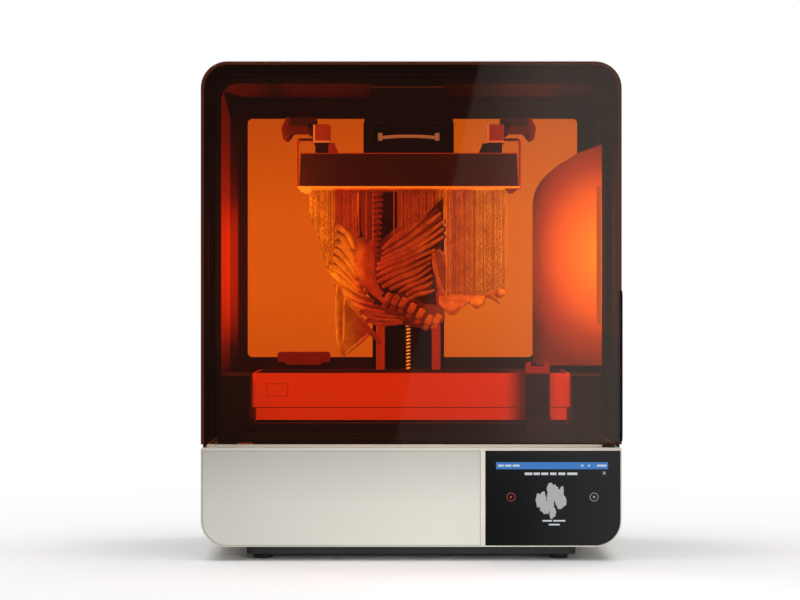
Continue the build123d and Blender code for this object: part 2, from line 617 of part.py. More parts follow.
with BuildPart() as cartridge_dock:
    block((DOCK_LEFT, DOCK_RIGHT), (DOCK_FRONT, LINER_BACK - SHEET - GAP), (DOCK_LOW, DOCK_HIGH))
    for x in SLOT_X:
        block(
            (x - CARTRIDGE_W / 2 - 0.6, x + CARTRIDGE_W / 2 + 0.6),
            (DOCK_FRONT + 2.5, LINER_BACK),
            (DOCK_LOW + 2.5, DOCK_HIGH - 2.5),
            Mode.SUBTRACT,
        )
    block((NOZZLE_X - 9, NOZZLE_X + 40), (NOZZLE_Y - 12, NOZZLE_Y + 12), (DOCK_LOW - 14, DOCK_LOW))
    rod(NOZZLE_X, NOZZLE_Y, TANK_HIGH + 3, DOCK_LOW - 10, NOZZLE_R)
    for x in SLOT_X:
        rod(x, NOZZLE_Y + 20, DOCK_LOW + 1, DOCK_LOW + 3, 6, Mode.SUBTRACT)
save(cartridge_dock, "cartridge_dock")

CARTRIDGE_FRONT, CARTRIDGE_REAR = 66.0, 250.0
CARTRIDGE_LOW, CARTRIDGE_HIGH = DOCK_LOW + 2.9, DOCK_HIGH - 3.5


def build_cartridge(x, name):
    """A flat upright resin bottle with a pull grip at its rear end and a vent cap on top."""
    with BuildPart() as cartridge:
        block(
            (x - CARTRIDGE_W / 2, x + CARTRIDGE_W / 2),
            (CARTRIDGE_FRONT, CARTRIDGE_REAR),
            (CARTRIDGE_LOW, CARTRIDGE_HIGH),
        )
        fillet(cartridge.edges().filter_by(Axis.Z), 5)
        grip_span = (CARTRIDGE_LOW + 20, CARTRIDGE_HIGH - 20)
        block((x - 13, x + 13), (CARTRIDGE_REAR - 1, BACK - 1), grip_span)
        fillet(cartridge.edges().filter_by(Axis.Z).group_by(Axis.Y)[-1], 3)
        block((x - 14, x + 14), (CARTRIDGE_REAR + 1, CARTRIDGE_REAR + 8), (400, 500), Mode.SUBTRACT)
    save(cartridge, name)


build_cartridge(SLOT_X[0], "cartridge_inner")
build_cartridge(SLOT_X[1], "cartridge_outer")

with BuildPart() as chamber_light:
    block((BAY_RIGHT - 9, BAY_RIGHT - 1), (BAY_FRONT - 5, BAY_FRONT), (372, 600))
    fillet(chamber_light.edges().filter_by(Axis.Z).group_by(Axis.Y)[0], 2)
save(chamber_light, "chamber_light")

SENSOR_X, SENSOR_FRONT, SENSOR_LOW, SENSOR_HIGH = (-229.0, -139.0), 212.0, 304.0, 321.4
with BuildPart() as level_sensor:
    block(SENSOR_X, (SENSOR_FRONT, LINER_BACK - SHEET), (SENSOR_LOW, SENSOR_HIGH))
    fillet(level_sensor.edges().filter_by(Axis.Y), 4)
    block(
        (SENSOR_X[0] + 14, SENSOR_X[1] - 14),
        (SENSOR_FRONT - 7, SENSOR_FRONT + 0.5),
        (SENSOR_LOW - 4, SENSOR_LOW + 8),
    )
save(level_sensor, "level_sensor")

# ---------------------------------------------------------------- Z tower and screw

with BuildPart() as z_tower:
    with BuildSketch(Plane.XY.offset(DECK_TOP)):
        with Locations((MECH_X, TOWER_BACK - 5)):
            Rectangle(2 * TOWER_HALF, 10)
        for side in (-1, 1):
            with Locations((MECH_X + side * RAIL_X, (RAIL_BACK + TOWER_BACK - 5) / 2)):
                Rectangle(RAIL_W + 3, TOWER_BACK - 5 - RAIL_BACK)
            with Locations((MECH_X + side * (TOWER_HALF - 1.25), (142 + TOWER_BACK - 5) / 2)):
                Rectangle(2.5, TOWER_BACK - 5 - 142)
    extrude(amount=TOWER_TOP - DECK_TOP)
    for z in (300, 460, 620):
        block((MECH_X - 25, MECH_X + 25), (TOWER_BACK - 1, LINER_BACK - SHEET), (z, z + 14))
save(z_tower, "z_tower")

RAIL_LOW, RAIL_HIGH = DECK_TOP + 4, TOWER_TOP - 6
with BuildPart() as z_rails:
    for side in (-1, 1):
        with BuildSketch(Plane.XY.offset(RAIL_LOW)) as section:
            with Locations((MECH_X + side * RAIL_X, (RAIL_FRONT + RAIL_BACK) / 2)):
                Rectangle(RAIL_W, RAIL_BACK - RAIL_FRONT)
            chamfer(section.vertices().group_by(Axis.Y)[0], 1.5)
        extrude(amount=RAIL_HIGH - RAIL_LOW)
    with BuildSketch(facing(RAIL_FRONT - 0.5)):
        with Locations((MECH_X, (RAIL_LOW + RAIL_HIGH) / 2)):
            with GridLocations(2 * RAIL_X, 60, 2, 9):
                Circle(3.4)
    extrude(amount=-3, mode=Mode.SUBTRACT)
save(z_rails, "z_rails")

MOTOR_TOP, MOTOR_HALF, MOTOR_H = 172.0, 28.5, 76.0
with BuildPart() as z_motor:
    block(
        (MECH_X - MOTOR_HALF, MECH_X + MOTOR_HALF),
        (SCREW_Y - MOTOR_HALF, SCREW_Y + MOTOR_HALF),
        (MOTOR_TOP - MOTOR_H, MOTOR_TOP),
    )
    chamfer(z_motor.edges().filter_by(Axis.Z), 4)
    rod(MECH_X, SCREW_Y, MOTOR_TOP, MOTOR_TOP + 2, 19)
    block((MECH_X - 45, MECH_X + 45), (SCREW_Y - 31, SCREW_Y + 31), (MOTOR_TOP + 2, MOTOR_TOP + 6))
    rod(MECH_X, SCREW_Y, MOTOR_TOP - 6, MOTOR_TOP + 7, 16, Mode.SUBTRACT)
save(z_motor, "z_motor")

with BuildPart() as z_screw:
    rod(MECH_X, SCREW_Y, MOTOR_TOP - 4, TOWER_TOP - 8, SCREW_R)
    rod(MECH_X, SCREW_Y, MOTOR_TOP - 4, DECK_TOP - 8, 11)
    chamfer(z_screw.edges().filter_by(GeomType.CIRCLE).group_by(Axis.Z)[-1], 1)
save(z_screw, "z_screw")

with BuildPart() as screw_bearings:
    block((MECH_X - 24, MECH_X + 24), (SCREW_Y - 16, SCREW_Y + 26), (DECK_TOP, DECK_TOP + 14))
    block((MECH_X - 28, MECH_X + 28), (SCREW_Y - 16, TOWER_BACK - 10), (TOWER_TOP - 22, TOWER_TOP - 6))
    rod(MECH_X, SCREW_Y, DECK_TOP - 5, TOWER_TOP, SCREW_R + BEARING_CLEARANCE, Mode.SUBTRACT)
save(screw_bearings, "screw_bearings")

# ---------------------------------------------------------------- carriage and platform

with BuildPart() as carriage_plate:
    block((MECH_X - 62, MECH_X + 62), (PLATE_FRONT, PLATE_BACK), (PLATE_LOW, PLATE_HIGH))
    fillet(carriage_plate.edges().filter_by(Axis.Y), 5)
    with BuildSketch(facing(PLATE_FRONT - 1)):
        with Locations((MECH_X, (PLATE_LOW + PLATE_HIGH) / 2)):
            with GridLocations(60, 44, 2, 2):
                RectangleRounded(30, 26, 6)
    extrude(amount=-20, mode=Mode.SUBTRACT)
save(carriage_plate, "carriage_plate")

BLOCK_BACK = 141.0
with BuildPart() as carriage_bearings:
    for side in (-1, 1):
        for z in (PLATE_LOW, PLATE_HIGH - 42):
            x = MECH_X + side * RAIL_X
            block((x - 16, x + 16), (PLATE_BACK, BLOCK_BACK), (z - 4, z + 38))
            block(
                (x - RAIL_W / 2 - GAP, x + RAIL_W / 2 + GAP),
                (RAIL_FRONT - GAP, BLOCK_BACK + 1),
                (z - 5, z + 39),
                Mode.SUBTRACT,
            )
    block((MECH_X - 20, MECH_X + 20), (PLATE_BACK, SCREW_Y + 18), (PLATE_LOW + 28, PLATE_LOW + 58))
    rod(MECH_X, SCREW_Y, PLATE_LOW, PLATE_HIGH, SCREW_R + BEARING_CLEARANCE, Mode.SUBTRACT)
save(carriage_bearings, "carriage_bearings")

with BuildPart() as platform_holder:
    with BuildSketch(facing(PLATE_FRONT)) as outline:
        with BuildLine():
            Polyline(
                (MECH_X - HOLDER_HALF, PLATFORM_HIGH),
                (MECH_X + HOLDER_HALF, PLATFORM_HIGH),
                (MECH_X + HOLDER_HALF, 700),
                (MECH_X + HOLDER_HALF - 12, HOLDER_HIGH),
                (MECH_X - HOLDER_HALF + 12, HOLDER_HIGH),
                (MECH_X - HOLDER_HALF, 700),
                close=True,
            )
        make_face()
        fillet(outline.vertices().group_by(Axis.Y)[-1], 8)
    extrude(amount=PLATE_FRONT - HOLDER_FRONT)
    fillet(platform_holder.faces().sort_by(Axis.Y)[0].edges().group_by(Axis.Z)[-1], 4)
    block(
        (MECH_X - HOLDER_HALF + 18, MECH_X + HOLDER_HALF - 18),
        (HOLDER_FRONT + 6, PLATE_FRONT + 1),
        (PLATFORM_HIGH - 1, HOLDER_HIGH - 7),
        Mode.SUBTRACT,
    )
    block(
        (MECH_X - HOLDER_HALF - 1, MECH_X + HOLDER_HALF + 1),
        (PLATFORM_REAR + 2, PLATE_FRONT + 1),
        (PLATFORM_HIGH - 1, PLATFORM_HIGH + 12),
        Mode.SUBTRACT,
    )
    block(
        (MECH_X - LOCK_X - 10, MECH_X + LOCK_X + 10),
        (HOLDER_FRONT - 1, HOLDER_FRONT + 3),
        (664, 695),
        Mode.SUBTRACT,
    )
    for side in (-1, 1):
        x = MECH_X + side * LOCK_X
        for ear in (-1, 1):
            inner, outer = x + ear * 4.0, x + ear * 8.0
            low, high = min(inner, outer), max(inner, outer)
            block((low, high), (LOCK_Y - 5, HOLDER_FRONT + 2), (LOCK_Z - 6, LOCK_Z + 6))
        cross_rod(x - 8, x + 8, LOCK_Y, LOCK_Z, 2.0)
save(platform_holder, "platform_holder")

LOCK_DROP, LOCK_RISE, LOCK_LEAN, GRIP_R = 22.0, 2.0, 4.0, 2.6
with BuildPart() as lock_lever:
    for side in (-1, 1):
        x = MECH_X + side * LOCK_X
        with BuildSketch(Plane.YZ.offset(x - 3.6)) as arm:
            with Locations((LOCK_Y, LOCK_Z)):
                Circle(4.6)
            with Locations((LOCK_Y - LOCK_LEAN, LOCK_Z - LOCK_DROP)):
                Circle(5.2)
            make_hull()
            with Locations((LOCK_Y, LOCK_Z)):
                Circle(2.0 + BEARING_CLEARANCE, mode=Mode.SUBTRACT)
        extrude(amount=7.2)
    with BuildLine() as grip_line:
        ThreePointArc(
            (MECH_X - LOCK_X + 3, LOCK_Y - LOCK_LEAN, LOCK_Z - LOCK_DROP),
            (MECH_X, LOCK_Y - LOCK_LEAN, LOCK_Z - LOCK_DROP + LOCK_RISE),
            (MECH_X + LOCK_X - 3, LOCK_Y - LOCK_LEAN, LOCK_Z - LOCK_DROP),
        )
    with BuildSketch(Plane(origin=grip_line.line @ 0, z_dir=grip_line.line % 0)):
        Circle(GRIP_R)
    sweep()
save(lock_lever, "lock_lever")

with BuildPart() as platform_body:
    with BuildSketch(facing(PLATFORM_REAR)):
        with BuildLine():
            Polyline(
                (MECH_X - PLATFORM_HALF, PLATFORM_LOW),
                (MECH_X + PLATFORM_HALF, PLATFORM_LOW),
                (MECH_X + PLATFORM_TOP_HALF, PLATFORM_HIGH),
                (MECH_X - PLATFORM_TOP_HALF, PLATFORM_HIGH),
                close=True,
            )
        make_face()
    extrude(amount=PLATFORM_REAR - PLATFORM_FRONT)
    chamfer(platform_body.edges().filter_by(Axis.X).group_by(Axis.Z)[-1], 1.5)
    for low_x, high_x in ((-164, -60), (-54, 54), (60, 164)):
        block(
            (MECH_X + low_x, MECH_X + high_x),
            (PLATFORM_FRONT + 7, PLATFORM_REAR - 7),
            (PLATFORM_LOW - 1, PLATFORM_HIGH - 7),
            Mode.SUBTRACT,
        )
save(platform_body, "platform_body")

TAB_DROP, TAB_W, TAB_FRONT, TAB_REAR = 8.0, 24.0, -150.0, -110.0
with BuildPart() as flex_plate:
    block(
        (MECH_X - FLEX_HALF, MECH_X + FLEX_HALF),
        (PLATFORM_FRONT, PLATFORM_REAR),
        (PLATFORM_LOW - FLEX_T, PLATFORM_LOW),
    )
    with BuildSketch(facing(TAB_REAR)):
        for side in (-1, 1):
            end = MECH_X + side * FLEX_HALF
            with BuildLine():
                Polyline(
                    (end, PLATFORM_LOW - FLEX_T),
                    (end - side * TAB_W, PLATFORM_LOW - FLEX_T),
                    (end - side * 18, PLATFORM_LOW - FLEX_T - TAB_DROP),
                    (end - side * 11, PLATFORM_LOW - FLEX_T - TAB_DROP),
                    close=True,
                )
            make_face()
    extrude(amount=TAB_REAR - TAB_FRONT)
save(flex_plate, "flex_plate")

CHEEK_T, CHEEK_GAP, CHEEK_LOW, CHEEK_TOP = 6.0, 17.0, 668.0, 699.0
with BuildPart() as release_brackets:
    for side in (-1, 1):
        outer, inner = MECH_X + side * 153.0, MECH_X + side * 121.0
        low, high = min(outer, inner), max(outer, inner)
        block((low, high), (LEVER_Y - 23, LEVER_Y + 23), (PLATFORM_HIGH, CHEEK_LOW))
        with BuildSketch(facing(LEVER_Y + 23)):
            with BuildLine():
                Polyline(
                    (inner, PLATFORM_HIGH),
                    (inner - side * 8, PLATFORM_HIGH),
                    (inner, CHEEK_LOW - 2),
                    close=True,
                )
            make_face()
        extrude(amount=46)
        for face in (-1, 1):
            start, stop = LEVER_Y + face * CHEEK_GAP, LEVER_Y + face * (CHEEK_GAP + CHEEK_T)
            near, far = min(start, stop), max(start, stop)
            x = MECH_X + side * LEVER_X
            block((x - 13.8, x + 13.8), (near, far), (CHEEK_LOW, CHEEK_TOP))
        deep_rod(MECH_X + side * LEVER_X, LEVER_Y - 23, LEVER_Y + 23, LEVER_Z, 4.0)
save(release_brackets, "release_brackets")

BAIL_R, BAIL_X, BAIL_LOW, BAIL_BEND, BAIL_Y = 1.75, 183.0, 594.0, 7.0, 12.0


def build_release_lever(side, name):
    """A hand lever on a pin across Y, with the wire bail that clips the end of the flexible plate."""
    pivot = MECH_X + side * LEVER_X
    with BuildPart() as lever:
        deep_rod(pivot, LEVER_Y - 16.6, LEVER_Y + 16.6, LEVER_Z, 11.5)
        with BuildSketch(facing(LEVER_Y + 27)) as view:
            with BuildLine():
                Polyline(
                    (pivot + side * 23, LEVER_Z + 4),
                    (pivot + side * 46, LEVER_Z + 4),
                    (pivot + side * 56, LEVER_Z - 9),
                    (pivot + side * 63, LEVER_Z - 6),
                    (pivot + side * 66, LEVER_Z + 12),
                    (pivot + side * 58, LEVER_Z + 29),
                    (pivot + side * 8, LEVER_Z + 29),
                    (pivot + side * 8, LEVER_Z + 20),
                    (pivot + side * 23, LEVER_Z + 20),
                    close=True,
                )
            make_face()
            fillet(view.vertices(), 3)
        extrude(amount=54)
        with BuildSketch(facing(LEVER_Y + 16.6)):
            with BuildLine():
                Polyline(
                    (pivot, LEVER_Z + 11.5),
                    (pivot + side * 25, LEVER_Z + 24),
                    (pivot + side * 25, LEVER_Z + 5),
                    (pivot + side * 4, LEVER_Z - 10.8),
                    (pivot, LEVER_Z),
                    close=True,
                )
            make_face()
        extrude(amount=33.2)
        deep_rod(pivot, LEVER_Y - 20, LEVER_Y + 20, LEVER_Z, 4.0 + BEARING_CLEARANCE, Mode.SUBTRACT)
        bail_x = MECH_X + side * BAIL_X
        start = (pivot + side * 8, LEVER_Y - BAIL_Y, LEVER_Z - 6)
        with BuildLine() as wire:
            FilletPolyline(
                start,
                (bail_x, LEVER_Y - BAIL_Y, LEVER_Z - 6),
                (bail_x, LEVER_Y - BAIL_Y, BAIL_LOW),
                (bail_x, LEVER_Y + BAIL_Y, BAIL_LOW),
                (bail_x, LEVER_Y + BAIL_Y, LEVER_Z - 6),
                (pivot + side * 8, LEVER_Y + BAIL_Y, LEVER_Z - 6),
                radius=BAIL_BEND,
            )
        with BuildSketch(Plane(origin=start, z_dir=(side, 0, 0))):
            Circle(BAIL_R)
        sweep(path=wire.line)
    save(lever, name)


build_release_lever(-1, "release_lever_left")
build_release_lever(1, "release_lever_right")

# ---------------------------------------------------------------- print on the platform

RAFT_T = 2.0
RAFT_LOW = PLATFORM_LOW - FLEX_T - RAFT_T
STRUT_R = 1.2
CAGE_X, CAGE_Y, CAGE_Z = -22.0, -55.0, 455.0
with BuildPart() as print_supports:
    block((MECH_X - 150, MECH_X + 152), (-128, 20), (RAFT_LOW, RAFT_LOW + RAFT_T))
    chamfer(print_supports.faces().sort_by(Axis.Z)[0].edges(), 1.2)
    for column in range(12):
        for row in range(5):
            x, y = -140 + 26 * column, -118 + 30 * row
            drop = 60 + 9 * column if column > 5 else 40 + 14 * column
            with Locations((x, y, RAFT_LOW)):
                Cylinder(STRUT_R, drop, align=(Align.CENTER, Align.CENTER, Align.MAX))
save(print_supports, "print_supports")

with BuildPart() as print_model:
    with BuildSketch(Plane.XY.offset(340)):
        with Locations((CAGE_X + 20, CAGE_Y)):
            Ellipse(46, 40)
    with BuildSketch(Plane.XY.offset(430)):
        with Locations((CAGE_X, CAGE_Y)):
            Ellipse(88, 62)
    loft()
    with BuildSketch(Plane.XY.offset(344)):
        with Locations((CAGE_X + 20, CAGE_Y)):
            Ellipse(42, 36)
    with BuildSketch(Plane.XY.offset(431)):
        with Locations((CAGE_X, CAGE_Y)):
            Ellipse(84, 58)
    loft(mode=Mode.SUBTRACT)
save(print_model, "print_model")

# ---------------------------------------------------------------- tank and mixer

TAG_AT, TAG_W, TAG_H = (-215.0, 267.0), 35.0, 21.0
SEAM_H, SEAM_DEEP = 1.3, 1.0
with BuildPart() as resin_tank:
    left, right = TANK_X - TANK_HALF, TANK_X + TANK_HALF
    block((left, right), (TANK_FRONT, TANK_REAR), (TANK_SEAM, TANK_HIGH))
    block(
        (left + TANK_STEP, right - TANK_STEP),
        (TANK_FRONT + 1.2, TANK_REAR - 1.2),
        (TANK_LOW, TANK_SEAM),
    )
    fillet(resin_tank.edges().filter_by(Axis.Z), 6)
    block(
        (left + TANK_STEP + TANK_WALL, right - TANK_STEP - TANK_WALL),
        (TANK_FRONT + TANK_STEP + TANK_WALL, TANK_REAR - TANK_STEP - TANK_WALL),
        (TANK_LOW - 1, TANK_HIGH + 1),
        Mode.SUBTRACT,
    )
    with BuildSketch(Plane.XY.offset(TANK_SEAM - SEAM_H)):
        with Locations((TANK_X, (TANK_FRONT + TANK_REAR) / 2)):
            Rectangle(2 * TANK_HALF + 2, TANK_REAR - TANK_FRONT + 2)
            RectangleRounded(
                2 * (TANK_HALF - TANK_STEP - SEAM_DEEP),
                TANK_REAR - TANK_FRONT - 2 * TANK_STEP,
                4,
                mode=Mode.SUBTRACT,
            )
    extrude(amount=SEAM_H, mode=Mode.SUBTRACT)
    with BuildSketch(facing(TANK_FRONT)):
        with Locations(TAG_AT):
            RectangleRounded(TAG_W, TAG_H, 3)
            RectangleRounded(TAG_W - 2.6, TAG_H - 2.6, 2, mode=Mode.SUBTRACT)
    extrude(amount=0.8)
save(resin_tank, "resin_tank")

with BuildPart() as tank_film:
    block(
        (left + TANK_STEP + 1, right - TANK_STEP - 1),
        (TANK_FRONT + 3, TANK_REAR - 3),
        (TANK_LOW - FILM_T, TANK_LOW),
    )
save(tank_film, "tank_film")

BRIDGE_LOW, BRIDGE_HIGH = TANK_HIGH + 3.0, TANK_HIGH + 9.0
BLADE_LOW, BLADE_HIGH = TANK_LOW + 1.0, TANK_LOW + 7.0
with BuildPart() as mixer_blade:
    with BuildSketch(facing(TANK_REAR - 12)):
        with BuildLine():
            Polyline(
                (MIXER_X - 14, BLADE_LOW),
                (MIXER_X + 14, BLADE_LOW),
                (MIXER_X + 5, BLADE_HIGH),
                (MIXER_X - 5, BLADE_HIGH),
                close=True,
            )
        make_face()
    extrude(amount=TANK_REAR - 12 - (TANK_FRONT + 12))
    block((MIXER_X - 14, MIXER_X + 14), (TANK_FRONT + 9, TANK_FRONT + 18), (BLADE_LOW, BRIDGE_LOW))
save(mixer_blade, "mixer_blade")

ARM_FRONT, ARM_BACK, ARM_TOP = -186.0, -174.0, 312.0
CLAMP_FRONT, CLAMP_BACK, SHELF = -224.5, -216.5, 218.0
SLIDER_LOW, SLIDER_HIGH = 184.0, 202.0
MIXER_RAIL_FRONT, MIXER_RAIL_LOW, MIXER_RAIL_HIGH = -215.6, 187.0, 199.0
BELT_NEAR, BELT_FAR = BELT_Y + PULLEY_R - 0.2, BELT_Y + PULLEY_R + 2.0
with BuildPart() as mixer_arm:
    arm_span = (MIXER_X - MIXER_HALF, MIXER_X + MIXER_HALF)
    block(arm_span, (ARM_FRONT, ARM_BACK), (SHELF, ARM_TOP))
    block((MIXER_X - 11, MIXER_X + 11), (ARM_FRONT - 1, ARM_BACK + 1), (305, ARM_TOP + 1), Mode.SUBTRACT)
    fillet(mixer_arm.edges().filter_by(Axis.Y).group_by(Axis.Z)[-1].sort_by(Axis.X)[0], 4)
    fillet(mixer_arm.edges().filter_by(Axis.Y).group_by(Axis.Z)[-1].sort_by(Axis.X)[-1], 4)
    block((MIXER_X - 14, MIXER_X + 14), (ARM_BACK, TANK_FRONT + 18), (BRIDGE_LOW, BRIDGE_HIGH))
    block(arm_span, (CLAMP_FRONT, ARM_FRONT), (SHELF, SHELF + 8))
    block(arm_span, (CLAMP_FRONT, CLAMP_BACK), (SLIDER_LOW, SHELF + 8))
    block(arm_span, (CLAMP_BACK, DECK_FRONT - 1.5), (SLIDER_LOW, SLIDER_HIGH))
    block(
        (arm_span[0] - 1, arm_span[1] + 1),
        (MIXER_RAIL_FRONT - GAP, DECK_FRONT),
        (MIXER_RAIL_LOW - GAP, MIXER_RAIL_HIGH + GAP),
        Mode.SUBTRACT,
    )
    block(
        (arm_span[0] - 1, arm_span[1] + 1),
        (BELT_NEAR, BELT_FAR),
        (BELT_Z - BELT_H / 2 - 1, BELT_Z + BELT_H / 2 + 1),
        Mode.SUBTRACT,
    )
save(mixer_arm, "mixer_arm")

with BuildPart() as mixer_rail:
    block((-268, 246), (MIXER_RAIL_FRONT, DECK_FRONT - 3), (MIXER_RAIL_LOW, MIXER_RAIL_HIGH))
    chamfer(mixer_rail.edges().filter_by(Axis.X), 1.2)
    for x in (-262, 240):
        block((x - 6, x + 6), (DECK_FRONT - 3.5, DECK_FRONT), (186, 200))
save(mixer_rail, "mixer_rail")

BELT_T = 1.4
with BuildPart() as mixer_belt:
    with BuildSketch(Plane.XY.offset(BELT_Z - BELT_H / 2)):
        with Locations((0, BELT_Y)):
            SlotCenterToCenter(2 * PULLEY_X, 2 * (PULLEY_R + BELT_T + 0.2))
            SlotCenterToCenter(2 * PULLEY_X, 2 * (PULLEY_R + 0.2), mode=Mode.SUBTRACT)
    extrude(amount=BELT_H)
save(mixer_belt, "mixer_belt")


def build_pulley(x, name, shaft_low):
    """A flanged belt pulley on its own shaft."""
    with BuildPart() as pulley:
        rod(x, BELT_Y, BELT_Z - BELT_H / 2 - 1, BELT_Z + BELT_H / 2 + 1, PULLEY_R)
        for z in (BELT_Z - BELT_H / 2 - 2.2, BELT_Z + BELT_H / 2 + 1):
            rod(x, BELT_Y, z, z + 1.2, PULLEY_R + 2.6)
        rod(x, BELT_Y, shaft_low, BELT_Z + 8, 2.5)
        with Locations((x, BELT_Y, BELT_Z)):
            with PolarLocations(PULLEY_R, 16):
                Cylinder(0.7, BELT_H, mode=Mode.SUBTRACT)
    save(pulley, name)


build_pulley(PULLEY_X, "drive_pulley", 173.0)
build_pulley(-PULLEY_X, "idler_pulley", 181.0)

with BuildPart() as mixer_motor:
    block((PULLEY_X - 21, PULLEY_X + 21), (BELT_Y - 21, BELT_Y + 21), (132, 172))
    chamfer(mixer_motor.edges().filter_by(Axis.Z), 4)
    rod(PULLEY_X, BELT_Y, 171, 174.5, 11)
    rod(PULLEY_X, BELT_Y, 172.5, 176, 2.5 + BEARING_CLEARANCE, Mode.SUBTRACT)
save(mixer_motor, "mixer_motor")

# ---------------------------------------------------------------- cover

with BuildPart() as lid_shell:
    with BuildSketch(facing(LID_REAR)) as outline:
        plate_outline(-WIDTH / 2, WIDTH / 2, LID_BOTTOM, TOP)
        fillet(outline.vertices().group_by(Axis.Y)[-1], CORNER_R)
    extrude(amount=LID_REAR - FRONT)
    fillet(lid_shell.faces().sort_by(Axis.Y)[0].edges(), 2.5)
    with BuildSketch(facing(LID_REAR + 1)) as hollow:
        plate_outline(-WIDTH / 2 + LID_WALL, WIDTH / 2 - LID_WALL, LID_BOTTOM - 1, TOP - LID_WALL)
        fillet(hollow.vertices().group_by(Axis.Y)[-1], CORNER_R - LID_WALL)
    extrude(amount=LID_REAR + 1 - FRONT - LID_WALL, mode=Mode.SUBTRACT)
save(lid_shell, "lid_shell")


def arch_outline(y, inset, low):
    """An upright arch that follows the cover's inner wall."""
    with BuildSketch(facing(y), mode=Mode.PRIVATE) as arch:
        plate_outline(-WIDTH / 2 + inset, WIDTH / 2 - inset, low, TOP - inset)
        fillet(arch.vertices().group_by(Axis.Y)[-1], CORNER_R - inset)
    return arch.sketch


FRAME_W = 9.0
with BuildPart() as lid_frame:
    extrude(arch_outline(LID_REAR - 2, LID_WALL, LID_BOTTOM + 6), amount=12)
    extrude(
        arch_outline(LID_REAR - 1, LID_WALL + FRAME_W, LID_BOTTOM), amount=14, mode=Mode.SUBTRACT
    )
    for x in (-HINGE_X, HINGE_X):
        block(
            (x - KNUCKLE / 2, x + KNUCKLE / 2),
            (LID_REAR - 20, LID_REAR),
            (TOP - LID_WALL - LEAF_T - 0.2, TOP - LID_WALL + 1),
            Mode.SUBTRACT,
        )
save(lid_frame, "lid_frame")

with BuildPart() as lid_grip:
    with BuildSketch(Plane.YZ.offset(WIDTH / 2)) as pad:
        with Locations((FRONT + 52, (LID_BOTTOM + 3 + 427) / 2)):
            RectangleRounded(70, 427 - LID_BOTTOM - 3, 12)
    extrude(amount=2.7)
    chamfer(lid_grip.faces().sort_by(Axis.X)[-1].edges(), 1)
save(lid_grip, "lid_grip")


def knuckle_span(x, part):
    """The X span of one third of a hinge: -1, 0 or 1."""
    return (x + (part - 0.5) * KNUCKLE + 0.2, x + (part + 0.5) * KNUCKLE - 0.2)


with BuildPart() as hinge_rear:
    for x in (-HINGE_X, HINGE_X):
        cross_rod(x - 1.5 * KNUCKLE, x + 1.5 * KNUCKLE, HINGE_Y, HINGE_Z, HINGE_PIN_R)
        for part in (-1, 1):
            x0, x1 = knuckle_span(x, part)
            cross_rod(x0, x1, HINGE_Y, HINGE_Z, HINGE_R)
            block((x0, x1), (HINGE_Y, HOUSING_FRONT + 22), (TOP - SHEET - LEAF_T, TOP - SHEET))
        block(
            (x - 1.5 * KNUCKLE, x + 1.5 * KNUCKLE),
            (HOUSING_FRONT + 4, HOUSING_FRONT + 22),
            (TOP - SHEET - LEAF_T, TOP - SHEET),
        )
save(hinge_rear, "hinge_rear")

with BuildPart() as hinge_lid:
    for x in (-HINGE_X, HINGE_X):
        x0, x1 = knuckle_span(x, 0)
        cross_rod(x0, x1, HINGE_Y, HINGE_Z, HINGE_R)
        block((x0, x1), (LID_REAR - 2, HINGE_Y), (TOP - LID_WALL - LEAF_T, HINGE_Z - 0.8))
        block((x0, x1), (LID_REAR - 50, LID_REAR - 1.9), (TOP - LID_WALL - LEAF_T, TOP - LID_WALL))
        block((x0 - 1, x1 + 1), (LID_REAR - 2.01, LID_REAR + 0.5), (TOP - LID_WALL, TOP), Mode.SUBTRACT)
        cross_rod(x0 - 1, x1 + 1, HINGE_Y, HINGE_Z, HINGE_PIN_R + BEARING_CLEARANCE, Mode.SUBTRACT)
save(hinge_lid, "hinge_lid")
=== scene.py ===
import json
import math
import random

import bmesh
import bpy
from mathutils import Matrix, Vector, noise


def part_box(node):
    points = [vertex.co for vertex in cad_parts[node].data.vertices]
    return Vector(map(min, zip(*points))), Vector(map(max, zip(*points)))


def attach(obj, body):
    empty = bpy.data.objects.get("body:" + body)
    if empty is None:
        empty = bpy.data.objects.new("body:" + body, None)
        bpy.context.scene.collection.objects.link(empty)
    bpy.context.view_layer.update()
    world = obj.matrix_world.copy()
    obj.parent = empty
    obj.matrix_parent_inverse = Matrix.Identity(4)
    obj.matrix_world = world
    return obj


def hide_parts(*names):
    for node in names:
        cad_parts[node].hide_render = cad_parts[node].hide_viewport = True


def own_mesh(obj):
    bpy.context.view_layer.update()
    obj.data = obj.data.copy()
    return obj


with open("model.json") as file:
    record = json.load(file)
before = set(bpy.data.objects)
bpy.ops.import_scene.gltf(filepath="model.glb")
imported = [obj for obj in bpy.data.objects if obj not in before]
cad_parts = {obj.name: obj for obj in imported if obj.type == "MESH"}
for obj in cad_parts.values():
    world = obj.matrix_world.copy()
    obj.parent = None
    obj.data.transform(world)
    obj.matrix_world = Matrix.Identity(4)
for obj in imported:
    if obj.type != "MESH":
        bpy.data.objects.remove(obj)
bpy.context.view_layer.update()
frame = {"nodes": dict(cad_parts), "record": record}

NODES = frame["nodes"]
SCENE = bpy.context.scene
MM = 0.001
OPEN = 5.0
FAR = OPEN * 2
MOTTLE = (0.62, 0.42, 0.3)
SHEEN_CAP, SHEEN, ACRYLIC_IOR = 0.045, (0.80, 0.92, 1.0), 1.45


def add_object(name, data):
    """A new object in the scene."""
    thing = bpy.data.objects.new(name, data)
    SCENE.collection.objects.link(thing)
    return thing


# ------------------------------------------------------------------ camera

CAMERA_AT = (-0.0177, -5.264, 0.4114)
SENSOR_MM = 36.0
LENS_MM = 142.7

